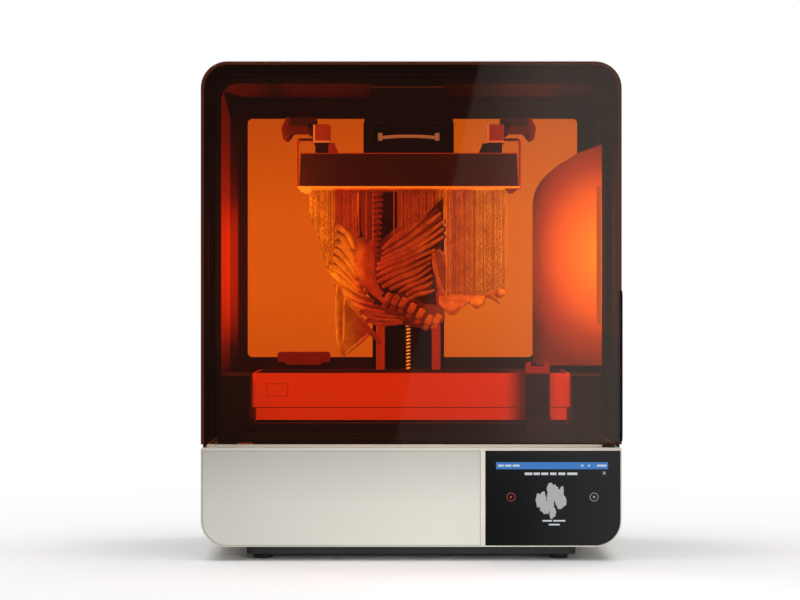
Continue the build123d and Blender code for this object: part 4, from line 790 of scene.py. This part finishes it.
def disc(centre, radius, thickness, axis, sides=28, hole=0.0):
    """Vertices and faces of a thin disc or ring that faces along a principal axis."""
    others = [i for i in range(3) if i != axis]
    verts, faces = [], []
    for depth in (0.0, thickness):
        for size in (radius, hole):
            for k in range(sides):
                angle = 2 * math.pi * k / sides
                v = list(centre)
                v[axis] += depth
                v[others[0]] += size * math.cos(angle)
                v[others[1]] += size * math.sin(angle)
                verts.append(Vector(v))
    for k in range(sides):
        j = (k + 1) % sides
        outer_a, inner_a, outer_b, inner_b = 0, sides, 2 * sides, 3 * sides
        faces.append((outer_a + k, outer_a + j, inner_a + j, inner_a + k))
        faces.append((outer_b + j, outer_b + k, inner_b + k, inner_b + j))
        faces.append((outer_a + j, outer_a + k, outer_b + k, outer_b + j))
        if hole > 0:
            faces.append((inner_a + k, inner_a + j, inner_b + j, inner_b + k))
    return verts, faces


# ------------------------------------------------------------------ CAD nodes that stay


def refine(names, width):
    """Rounds the sharp edges of CAD nodes a little, so that they catch the light."""
    for name in names:
        thing = NODES[name]
        weld = thing.modifiers.new("weld", "WELD")
        weld.merge_threshold = 0.00001
        bevel = thing.modifiers.new("bevel", "BEVEL")
        bevel.width = width
        bevel.segments = 2
        bevel.limit_method = "ANGLE"
        bevel.angle_limit = math.radians(40)
        bevel.harden_normals = False


refine(["platform_body", "resin_tank", "platform_holder", "mixer_arm", "level_sensor"], 0.0007)


# ------------------------------------------------------------------ print


TOWER_X, PLATE_Z = -3.5, 592


def on_print(u, v, y):
    """A point of the print: u across from the tower's middle, v up from the plate's underside, in mm."""
    return Vector(((u + TOWER_X) * MM, y * MM, (PLATE_Z + v) * MM))


RESIN_BODY = "z_carriage"
FAN_RIBS = (
    ((-43, -99), (-22, -81), (10, -58), (41, -24)),
    ((-43, -107), (-10, -87), (27, -58), (52, -39)),
    ((-45, -115), (-10, -99), (27, -75), (57, -52)),
    ((-51, -124), (-12, -107), (27, -85), (57, -64)),
    ((-53, -132), (-18, -117), (27, -95), (57, -77)),
    ((-53, -142), (-22, -128), (14, -111), (43, -99)),
    ((-51, -152), (-22, -138), (10, -124), (37, -111)),
    ((-43, -160), (-16, -146), (12, -134), (35, -119)),
    ((-31, -164), (-10, -154), (14, -144), (36, -128)),
    ((-16, -168), (2, -158), (20, -150), (38, -140)),
    ((-4, -172), (10, -164), (27, -158), (38, -151)),
    ((-2, -181), (14, -172), (31, -168), (41, -164)),
)
LEFT_RIBS = (
    ((-118, -60), (-106, -68), (-96, -79), (-88, -99)),
    ((-119, -73), (-106, -83), (-96, -99), (-86, -119)),
    ((-119, -87), (-106, -95), (-94, -111), (-84, -134)),
    ((-122, -99), (-110, -107), (-96, -124), (-82, -146)),
    ((-126, -111), (-114, -119), (-98, -136), (-80, -158)),
    ((-128, -124), (-116, -132), (-100, -146), (-77, -168)),
    ((-126, -136), (-114, -146), (-96, -160), (-71, -177)),
    ((-116, -154), (-102, -168), (-86, -179), (-59, -189)),
    ((-102, -168), (-88, -187), (-69, -195), (-39, -201)),
    ((-84, -189), (-65, -199), (-43, -205), (-22, -209)),
    ((-73, -201), (-55, -211), (-35, -213), (-14, -215)),
    ((-63, -215), (-47, -219), (-26, -219), (-10, -217)),
)
BREASTBONE = ((-75, -81), (-77, -99), (-77, -119), (-73, -140), (-63, -158), (-49, -174), (-37, -187))
BREAST_RIDGE = ((-57, -83), (-63, -99), (-65, -119), (-61, -140), (-53, -158), (-43, -172))
TAIL = ((-34, -178), (-22, -182), (-9, -186), (5, -195), (19, -204), (33, -214), (46, -213))
TAIL_MASS = (
    (-35, -172), (-16, -168), (4, -174), (27, -187), (49, -189), (59, -201), (59, -215), (31, -229),
    (-2, -223), (-31, -213), (-39, -191),
)
TORSO = (
    (-84, -88), (-88, -115), (-79, -148), (-63, -179), (-31, -205), (-2, -219), (31, -225), (55, -210),
    (45, -181), (39, -148), (41, -107), (57, -87), (60, -5), (45, -3), (-16, -3), (-55, -3), (-82, -3),
)
BLADE = (
    (-115, -154), (-104, -168), (-96, -185), (-84, -201), (-71, -215), (-63, -227), (-65, -240),
    (-84, -254), (-98, -266), (-108, -273), (-115, -260), (-117, -229), (-116, -189),
)
HIP_HOLLOW = (
    (40, -105), (49, -99), (58, -105), (65, -111), (67, -144), (69, -174), (55, -174), (49, -154),
    (44, -132),
)
HIP_BASE = (
    (49, -174), (67, -175), (100, -175), (124, -174), (120, -186), (110, -193), (102, -189), (98, -182),
    (88, -189), (78, -202), (65, -203), (55, -195), (49, -185),
)
HIP_RIMS = (
    (((40, -104), (42, -124), (47, -144), (52, -160), (60, -173)), 3.6, -101),
    (((46, -100), (55, -105), (62, -124), (66, -148), (68, -172)), 3.0, -95),
    (((58, -174), (80, -176), (104, -176), (126, -173), (141, -167)), 3.6, -102),
    (((52, -164), (54, -181), (59, -191), (67, -201), (76, -201), (86, -191), (98, -182)), 3.2, -97),
    (((98, -182), (106, -189), (112, -192), (122, -184), (126, -175)), 3.0, -90),
    (((126, -173), (137, -177), (149, -186)), 2.6, -92),
)
BLADE_RIMS = (
    (((-115, -155), (-117, -190), (-116, -229), (-114, -254), (-107, -272)), 3.0, -101),
    (((-112, -156), (-97, -184), (-82, -203), (-64, -227)), 3.2, -101),
    (((-65, -236), (-84, -253), (-106, -271)), 3.0, -99),
    (((-104, -178), (-105, -215), (-106, -250)), 2.2, -102),
    (((-70, -226), (-60, -234), (-50, -246), (-45, -252)), 4.6, -88),
)


def swell(seed, slim=0.55):
    """How thick a bone is along its length: slim at its ends, and a little uneven."""

    def size(t):
        wave = noise.noise(Vector((seed * 3.1, t * 4.0, 0.5)))
        return (slim + (1 - slim) * math.sin(math.pi * min(1.0, 0.12 + t))) * (1 + 0.22 * wave)

    return size


def bone(shape, path, depths, radius, flat, seed, steps=6, slim=0.55):
    """One long bone through points of the print."""
    line = spline([on_print(u, v, y) for (u, v), y in zip(path, depths)], steps)
    shape.take(*tube(line, radius * MM, 12, flat, swell(seed, slim)))


def leaning(verts, centre, angle):
    """Turns vertices about Y through a centre."""
    turn = Matrix.Rotation(angle, 3, "Y")
    return [turn @ (v - centre) + centre for v in verts]


def rib_cage(bones):
    """The ribs on both sides, with more ribs behind them, which the painted depth shade darkens."""
    for i, rib in enumerate(FAN_RIBS):
        bone(bones, rib, (-108, -113, -104, -94), 4.9 if i < 8 else 3.7, 0.55, i)
        behind = [(u - 4, v + 7) for u, v in rib]
        bone(bones, behind, (-84, -88, -80, -66), 5.2, 0.6, i + 20)
        deeper = [(u + 5, v + 2) for u, v in rib]
        bone(bones, deeper, (-58, -62, -54, -44), 6.0, 0.7, i + 40)
    for i, rib in enumerate(LEFT_RIBS):
        bone(bones, rib, (-92, -104, -110, -112), 5.0 if i < 8 else 4.2, 0.5, i + 60, slim=0.65)
        behind = [(u + 3, v + 6) for u, v in rib]
        bone(bones, behind, (-70, -82, -88, -90), 5.0, 0.6, i + 80, slim=0.7)
        tip_u, tip_v = rib[0]
        bones.take(*lump(on_print(tip_u - 3, tip_v + 1, -90), (5 * MM, 4 * MM, 4 * MM), i + 7.0, 0.4))


def spine(bones):
    """The breastbone, the neck above it, and the vertebrae that hang below."""
    bone(bones, BREASTBONE, [-88, -104, -109, -110, -109, -108, -106], 13.5, 0.42, 3, 8, 0.35)
    bone(bones, BREAST_RIDGE, [-90, -102, -106, -107, -106, -104], 9.0, 0.5, 5, 8, 0.4)
    for i in range(14):
        v = -8 - 9.2 * i
        u = -49 - 0.5 * i
        knob = on_print(u, v, -88)
        bones.take(*lump(knob, (8.5 * MM, 8 * MM, 4.6 * MM), i * 1.7, 0.25))
        spur = on_print(u - 4, v - 2, -98)
        bones.take(*lump(spur, (4.5 * MM, 6 * MM, 2.6 * MM), i * 1.7 + 30, 0.3))
    bones.take(*sheet_bone(TAIL_MASS, -74, 10.0, 5.0, 21.0))
    for i, (u, v) in enumerate(TAIL):
        centre = on_print(u, v + 1, -108)
        half = Vector((5.2, 8.0, 9.2)) * MM
        verts, faces = bevelled_box(centre - half, centre + half, 3.4 * MM, 3)
        bones.take(leaning(verts, centre, math.radians(28)), faces)
        centre = on_print(u - 5, v - 12, -96)
        verts, faces = lump(centre, (4.4 * MM, 7 * MM, 5.0 * MM), i * 2.3 + 80, 0.35, 9, 14)
        bones.take(leaning(verts, centre, math.radians(30)), faces)


def sheet_bone(outline, depth, thickness, bulge, seed):
    """A broad thin bone cut to an outline, hollowed and uneven."""
    flat = bmesh.new()
    ring = [flat.verts.new(on_print(u, v, depth)) for u, v in outline]
    face = flat.faces.new(ring)
    bmesh.ops.triangulate(flat, faces=[face])
    bmesh.ops.subdivide_edges(flat, edges=list(flat.edges), cuts=3, use_grid_fill=True)
    bmesh.ops.triangulate(flat, faces=list(flat.faces))
    middle = sum((v.co for v in flat.verts), Vector()) / len(flat.verts)
    for v in flat.verts:
        away = (v.co - middle).length
        ripple = noise.noise(v.co * 28 + Vector((seed, 0, 0)))
        v.co.y += (bulge * math.cos(away * 30) + 3.0 * ripple) * MM
    everything = list(flat.verts) + list(flat.edges) + list(flat.faces)
    bmesh.ops.solidify(flat, geom=everything, thickness=thickness * MM)
    return taken_from(flat)


def make_print():
    """The printed bones: rib cage, spine, a shoulder blade at the left and a hip at the right."""
    bones = Shape()
    # A broad sheet at the back fills the gaps between the ribs; the painted depth shade makes it dark.
    bones.take(*sheet_bone(TORSO, -30, 6.0, 9.0, 31.0))
    rib_cage(bones)
    spine(bones)
    bones.take(*sheet_bone(BLADE, -94, 2.6, 11.0, 3.0))
    bones.take(*sheet_bone(HIP_HOLLOW, -84, 4.0, 5.0, 9.0))
    bones.take(*sheet_bone(HIP_BASE, -104, 6.0, -5.0, 12.0))
    for seed, (path, size, depth) in enumerate(HIP_RIMS + BLADE_RIMS):
        bone(bones, path, [depth] * len(path), size, 0.9, seed + 100, 8, 0.7)
    bones.take(*lump(on_print(148, -169, -96), (9 * MM, 9 * MM, 8 * MM), 5.0))
    return bones.piece("printed_bones", "resin_print", RESIN_BODY, "resin_print")


def strut(shape, foot, head, radius):
    """A thin four-sided bar."""
    shape.take(*tube([foot, head], radius, 4))


def posts_and_braces(shape, columns, y, bottom, pitch, radius, gaps=2):
    """Upright struts in one plane, some of the gaps between them crossed by zigzag braces."""
    for i, u in enumerate(columns):
        low = bottom(u)
        strut(shape, on_print(u, -1.5, y), on_print(u, low, y), radius)
        if i + 1 >= len(columns) or i % gaps == gaps - 1:
            continue
        neighbour = columns[i + 1]
        reach = max(low, bottom(neighbour))
        v, flip = -2.0 - (i * 3.7) % 5, i % 2
        while v - pitch > reach:
            a, b = (u, neighbour) if flip else (neighbour, u)
            strut(shape, on_print(a, v, y), on_print(b, v - pitch, y), radius * 0.8)
            v -= pitch
            flip = not flip


def follow(points):
    """A function that reads a height off a line of (across, height) points."""

    def height(u):
        if u <= points[0][0]:
            return points[0][1]
        for (u0, v0), (u1, v1) in zip(points, points[1:]):
            if u <= u1:
                return v0 + (v1 - v0) * (u - u0) / (u1 - u0)
        return points[-1][1]

    return height


def spaced(start, stop, step):
    """Numbers from start to stop."""
    count = int((stop - start) / step + 0.5)
    return [start + (stop - start) * i / count for i in range(count + 1)]


SUPPORT_BLOCKS = (  # across, lower edge, post spacing, brace pitch, rows deep
    (
        (-160, -123), ((-162, -30), (-157, -56), (-147, -83), (-142, -107), (-128, -128), (-118, -150)),
        9.3, 4.6, 15,
    ),
    ((-120, -84), ((-122, -58), (-106, -66), (-95, -78), (-82, -92)), 7.2, 4.8, 9),
    ((-18, 57), ((-22, -84), (0, -66), (14, -54), (30, -38), (44, -24), (57, -14)), 6.2, 4.0, 9),
    ((62, 119), ((60, -170), (97, -172), (119, -172)), 8.1, 5.6, 15),
    ((123, 159), ((123, -172), (140, -162), (159, -162)), 9.0, 5.6, 15),
)
LONE_STRUTS = ((-81, -78), (-69, -82), (-58, -88), (-24, -78), (57, -60), (61, -178), (66.5, -172))
DARK_PANEL = ((-80, -3), (-60, -3), (-59, -84), (-72, -84), (-78, -66))


def make_supports():
    """The raft's edge and the support scaffolds over the bones."""
    rng = random.Random(5)
    struts = Shape()
    for (start, stop), edge, pitch, brace, rows in SUPPORT_BLOCKS:
        bottom = follow(edge)
        posts_and_braces(struts, spaced(start, stop, pitch), -118, bottom, brace, 0.62 * MM)
        for row in range(1, rows):
            y = -118 + 9.6 * row
            shift = rng.uniform(-1.5, 1.5)
            columns = [u + shift for u in spaced(start + 2, stop - 2, 5.0)]
            posts_and_braces(struts, columns, y, bottom, 6.5, 0.55 * MM, 9)
    for u, low in LONE_STRUTS:
        strut(struts, on_print(u, -1.5, -119), on_print(u, low, -119), 0.8 * MM)
    struts.take(*sheet_bone(DARK_PANEL, -60, 2.0, 1.0, 40.0))
    for u0, u1 in ((-162, 60), (64, 160)):
        struts.take(*bevelled_box(on_print(u0, -2.2, -126), on_print(u1, 0, 22), 0.7 * MM))
    return struts.piece("printed_supports", "resin_struts", RESIN_BODY, "resin_print")


printed_bones = make_print()
printed_supports = make_supports()
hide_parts("print_model")
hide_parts("print_supports")
for piece in (printed_bones, printed_supports):
    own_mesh(piece)


# ------------------------------------------------------------------ lead screw


def make_screw():
    """The lead screw with a real thread, in the place of its plain rod; the crests that face straight to the
    front and back carry a painted highlight.
    """
    low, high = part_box("z_screw")
    x, y = (low[0] + high[0]) / 2, (low[1] + high[1]) / 2
    collar_top, collar_radius, pitch = 0.207, 0.0109, 0.006
    outer, core = 0.006, 0.0046
    shape = Shape()
    sides, rings_per_pitch = 20, 8
    rings = int((high[2] - collar_top) / pitch * rings_per_pitch)
    verts = []
    for ring in range(rings + 1):
        z = collar_top + (high[2] - collar_top) * ring / rings
        for k in range(sides):
            angle = 2 * math.pi * k / sides
            phase = (z / pitch - k / sides) % 1.0
            crest = min(1.0, max(0.0, 1.6 - 4.4 * abs(phase - 0.5)))
            radius = core + (outer - core) * crest
            verts.append(Vector((x + radius * math.cos(angle), y + radius * math.sin(angle), z)))
    shape.take(verts, ring_faces(rings + 1, sides))
    collar = [Vector((x, y, low[2])), Vector((x, y, collar_top + 0.001))]
    shape.take(*tube(collar, collar_radius, 24))
    screw = shape.piece("lead_screw", "thread_root", "z_screw", "bright_steel")
    screw.data.materials.append(MATERIALS["thread_crest_highlight"])
    # The crests that face straight to the front and back get the painted highlight.
    middle, lit_half = Vector((x, y, 0)), 0.0034
    for polygon in screw.data.polygons:
        reach = (Vector((polygon.center.x, polygon.center.y, 0)) - middle).length
        on_crest = core + 0.0007 < reach < outer + 0.0001
        polygon.material_index = int(on_crest and abs(polygon.center.x - x) < lit_half)
    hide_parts("z_screw")


make_screw()


# ------------------------------------------------------------------ seals under the cover


def make_seals():
    """A soft strip along each side of the base, just under the cover's bottom edge."""
    low_corner, high_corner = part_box("lid_shell")
    left, front, cover_low = low_corner
    right, rear = high_corner[:2]
    rim_top = cover_low - 0.005
    clear, inset, width, front_gap, rear_gap = 0.0004, 0.0026, 0.0030, 0.012, 0.004
    seals = Shape()
    for near in (left + inset, right - inset - width):
        low = (near, front + front_gap, rim_top + clear)
        high = (near + width, rear - rear_gap, cover_low - clear)
        seals.take(*bevelled_box(low, high, 0.0012, 3))
    seals.piece("side_seals", "rubber_black", "chassis", "rubber_black")


make_seals()


# ------------------------------------------------------------------ screen


HEADER_MARKS = (
    (0.137, 0.146), (0.148, 0.158), (0.160, 0.171), (0.268, 0.2715), (0.279, 0.282), (0.293, 0.308),
)
CAPTION = ((0.179, 0.191), (0.193, 0.203), (0.205, 0.216), (0.219, 0.229), (0.232, 0.243), (0.246, 0.262))
NOTES = ((0.207, 0.222, 0.0620), (0.224, 0.243, 0.0620), (0.217, 0.234, 0.0560))
NOTE_HEIGHT = 0.0024
CROSS_AT, CROSS_ARM = (0.3045, 0.1385), 0.0022
BUTTONS = (
    ("screen_button_left", 0.1574, (0.5, 0.06, 0.05)),
    ("screen_button_right", 0.2883, (0.32, 0.42, 0.33)),
)
BUTTON_Z, BUTTON_R, BUTTON_HOLE, DOT_HALF = 0.1007, 0.0068, 0.0060, 0.0015
PICTURE_X, PICTURE_Z, PICTURE_SIZE = 0.2215, 0.097, 0.027
PICTURE_LEFT, PICTURE_WIDTH, PICTURE_LOW, PICTURE_HEIGHT = 0.2000, 0.043, 0.074, 0.046
LIT_RAISE, LIT_DEPTH = 0.00015, 0.0003


def screen_bar(shape, face, across, heights, raise_by=0.0):
    """A thin lit bar on the glass."""
    low, high = (across[0], face - raise_by, heights[0]), (across[1], face + LIT_DEPTH, heights[1])
    shape.take(*bevelled_box(low, high, 0.0001, 1))


def screen_piece(shape, name, colour, strength):
    """Turns lit shapes into a piece of the display."""
    shape.piece(name, lit_shape(name, colour, strength), "chassis", "black_glass", False)


def make_header(face):
    """The blue bar, with its marks, the caption's dashes, the notes and the cross."""
    header, marks = Shape(), Shape()
    screen_bar(header, face, (0.1338, 0.3103), (0.1446, 0.1556))
    screen_piece(header, "screen_header", (0.036, 0.165, 0.445), 1.0)
    for across in HEADER_MARKS:
        screen_bar(marks, face, across, (0.1487, 0.1517), 0.0002)
    for across in CAPTION:
        screen_bar(marks, face, across, (0.1354, 0.1393))
    for x0, x1, z in NOTES:
        screen_bar(marks, face, (x0, x1), (z, z + NOTE_HEIGHT))
    middle = Vector((CROSS_AT[0], face + LIT_DEPTH / 2, CROSS_AT[1]))
    for sign in (-1, 1):
        reach = Vector((CROSS_ARM, 0, sign * CROSS_ARM))
        marks.take(*tube([middle - reach, middle + reach], 0.00035, 6, 0.4))
    screen_piece(marks, "screen_marks", (0.50, 0.53, 0.56), 1.0)


def make_picture(face):
    """A small grey shape in the middle of the page."""
    rng = random.Random(11)
    picture = Shape()
    for i in range(26):
        x = PICTURE_LEFT + PICTURE_WIDTH * rng.random()
        z = PICTURE_LOW + PICTURE_HEIGHT * rng.random()
        lean = (x - PICTURE_X) * 0.7
        if abs(lean) * 1.5 + abs(z - PICTURE_Z) > PICTURE_SIZE:
            continue
        centre, radii = (x, face + LIT_DEPTH * 0.6, z), (0.0052, 0.0004, 0.0105)
        picture.take(*lump(centre, radii, i * 1.3, 0.6, 6, 10))
    screen_piece(picture, "screen_model", (0.42, 0.43, 0.44), 0.8)


def make_screen():
    """A generic status page: a header bar, a caption of dashes, two round buttons and a small model."""
    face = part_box("screen_glass")[0][1] - LIT_RAISE
    make_header(face)
    for name, x, colour in BUTTONS:
        ring = Shape()
        ring.take(*disc((x, face, BUTTON_Z), BUTTON_R, LIT_DEPTH, 1, 32, BUTTON_HOLE))
        screen_bar(ring, face, (x - DOT_HALF, x + DOT_HALF), (BUTTON_Z - DOT_HALF, BUTTON_Z + DOT_HALF))
        screen_piece(ring, name, colour, 0.8)
    make_picture(face)


make_screen()


# ------------------------------------------------------------------ stage and lights


FLOOR_RADIUS, FLOOR_FADE = 1.75, 0.5


def make_stage():
    """A pale round floor that fades into the white studio."""
    disc_shape = bmesh.new()
    bmesh.ops.create_circle(disc_shape, cap_ends=True, segments=96, radius=FLOOR_RADIUS)
    mesh = bpy.data.meshes.new("floor")
    disc_shape.to_mesh(mesh)
    disc_shape.free()
    material = surface("paper", (0.95, 0.95, 0.95), 0.9, spread=0.005, bump=0.0, specular=0.05)
    tree, shader = shader_of(material)
    distance = add_node(tree, "VectorMath", {0: coordinates(tree)}, operation="LENGTH").outputs["Value"]
    reach = remap(tree, distance, FLOOR_FADE, FLOOR_RADIUS - 0.05, 0.0, 1.0)
    white = add_node(tree, "Emission", {}).outputs["Emission"]
    fade = add_node(tree, "MixShader", {"Fac": reach, 1: shader.outputs["BSDF"], 2: white})
    output = next(n for n in tree.nodes if n.type == "OUTPUT_MATERIAL")
    tree.links.new(fade.outputs["Shader"], output.inputs["Surface"])
    mesh.materials.append(material)
    floor = add_object("floor", mesh)
    floor.visible_glossy = False


COVER_CARD = ((0.264, 1.253), (1.6, 1.253), (1.6, -0.09), (-0.036, -0.09))
SCREEN_CARD = ((0.22, -0.11), (1.0, -0.11), (1.0, -0.9), (0.22, -0.9))
COVER_SHEEN = ((0.05, 0.26), (0.28, 0.42), (0.40, 0.70), (0.52, 0.90), (0.65, 0.90), (0.85, 1.0))
SCREEN_SHEEN = ((0.24, 0.0), (0.38, 0.08), (0.50, 0.30), (0.72, 0.55))


def make_reflection_card(name, corners, sheen):
    """A pale card behind the camera, seen only as a slanting sheen on the glossy front."""
    mesh = bpy.data.meshes.new(name)
    mesh.from_pydata([(x, CARD_AT, z) for x, z in corners], [], [(0, 1, 2, 3)])
    material, tree, output = new_material(name)
    stops = [(at, (grey, grey, grey)) for at, grey in sheen]
    light = add_node(tree, "Emission", {"Color": colour_stops(tree, object_axis(tree, "X"), stops)})
    tree.links.new(light.outputs["Emission"], output.inputs["Surface"])
    mesh.materials.append(material)
    card = add_object(name, mesh)
    card.visible_camera = False
    card.visible_diffuse = False
    card.visible_shadow = False


def area_light(name, at, toward, size, power, colour=(1, 1, 1), seen=False, spread=180):
    """A soft rectangular lamp that faces a point."""
    data = bpy.data.lights.new(name, "AREA")
    data.shape = "RECTANGLE"
    data.size, data.size_y = size
    data.energy = power
    data.spread = math.radians(spread)
    data.color = colour
    lamp = add_object(name, data)
    lamp.location = at
    lamp.rotation_euler = (Vector(toward) - Vector(at)).to_track_quat("-Z", "Y").to_euler()
    lamp.visible_camera = False
    lamp.visible_glossy = seen
    return lamp


def make_world():
    """White for the eye, soft grey for light, and nearly black in reflections."""
    world = bpy.data.worlds.new("studio")
    world.use_nodes = True
    tree = world.node_tree
    base = tree.nodes["Background"]
    feed(tree, base.inputs["Color"], WHITE)
    feed(tree, base.inputs["Strength"], WORLD_LIGHT)
    path = add_node(tree, "LightPath", {})
    before = base.outputs[0]
    for ray, strength in (("Is Glossy Ray", WORLD_GLOSS), ("Is Camera Ray", 1.0)):
        other = add_node(tree, "Background", {"Color": WHITE, "Strength": strength}).outputs[0]
        before = add_node(tree, "MixShader", {"Fac": path.outputs[ray], 1: before, 2: other}).outputs[0]
    output = next(n for n in tree.nodes if n.type == "OUTPUT_WORLD")
    tree.links.new(before, output.inputs["Surface"])
    SCENE.world = world


WORLD_LIGHT, WORLD_GLOSS, CARD_AT = 0.38, 0.09, -6.26
WARM, WHITE = (1.0, 0.86, 0.70), (1, 1, 1)
make_world()
make_stage()
make_reflection_card("cover_card", COVER_CARD, COVER_SHEEN)
make_reflection_card("screen_card", SCREEN_CARD, SCREEN_SHEEN)
area_light("overhead", (0, 0.2, 3.4), (0, 0.2, 0), (4.0, 3.4), 115, seen=True)
area_light("right", (0.55, -1.5, 0.16), (-0.02, -0.264, 0.05), (0.4, 0.2), 0.98, spread=50)
area_light("chamber_left", (-0.285, -0.19, 0.52), (0.0, -0.09, 0.47), (0.08, 0.30), 1.0, WARM)
area_light("chamber_right", (0.285, -0.20, 0.50), (0.05, -0.09, 0.47), (0.08, 0.30), 0.6, WARM)
area_light("chamber_back", (-0.16, 0.12, 0.45), (-0.05, -0.10, 0.48), (0.15, 0.20), 0.5, WARM)
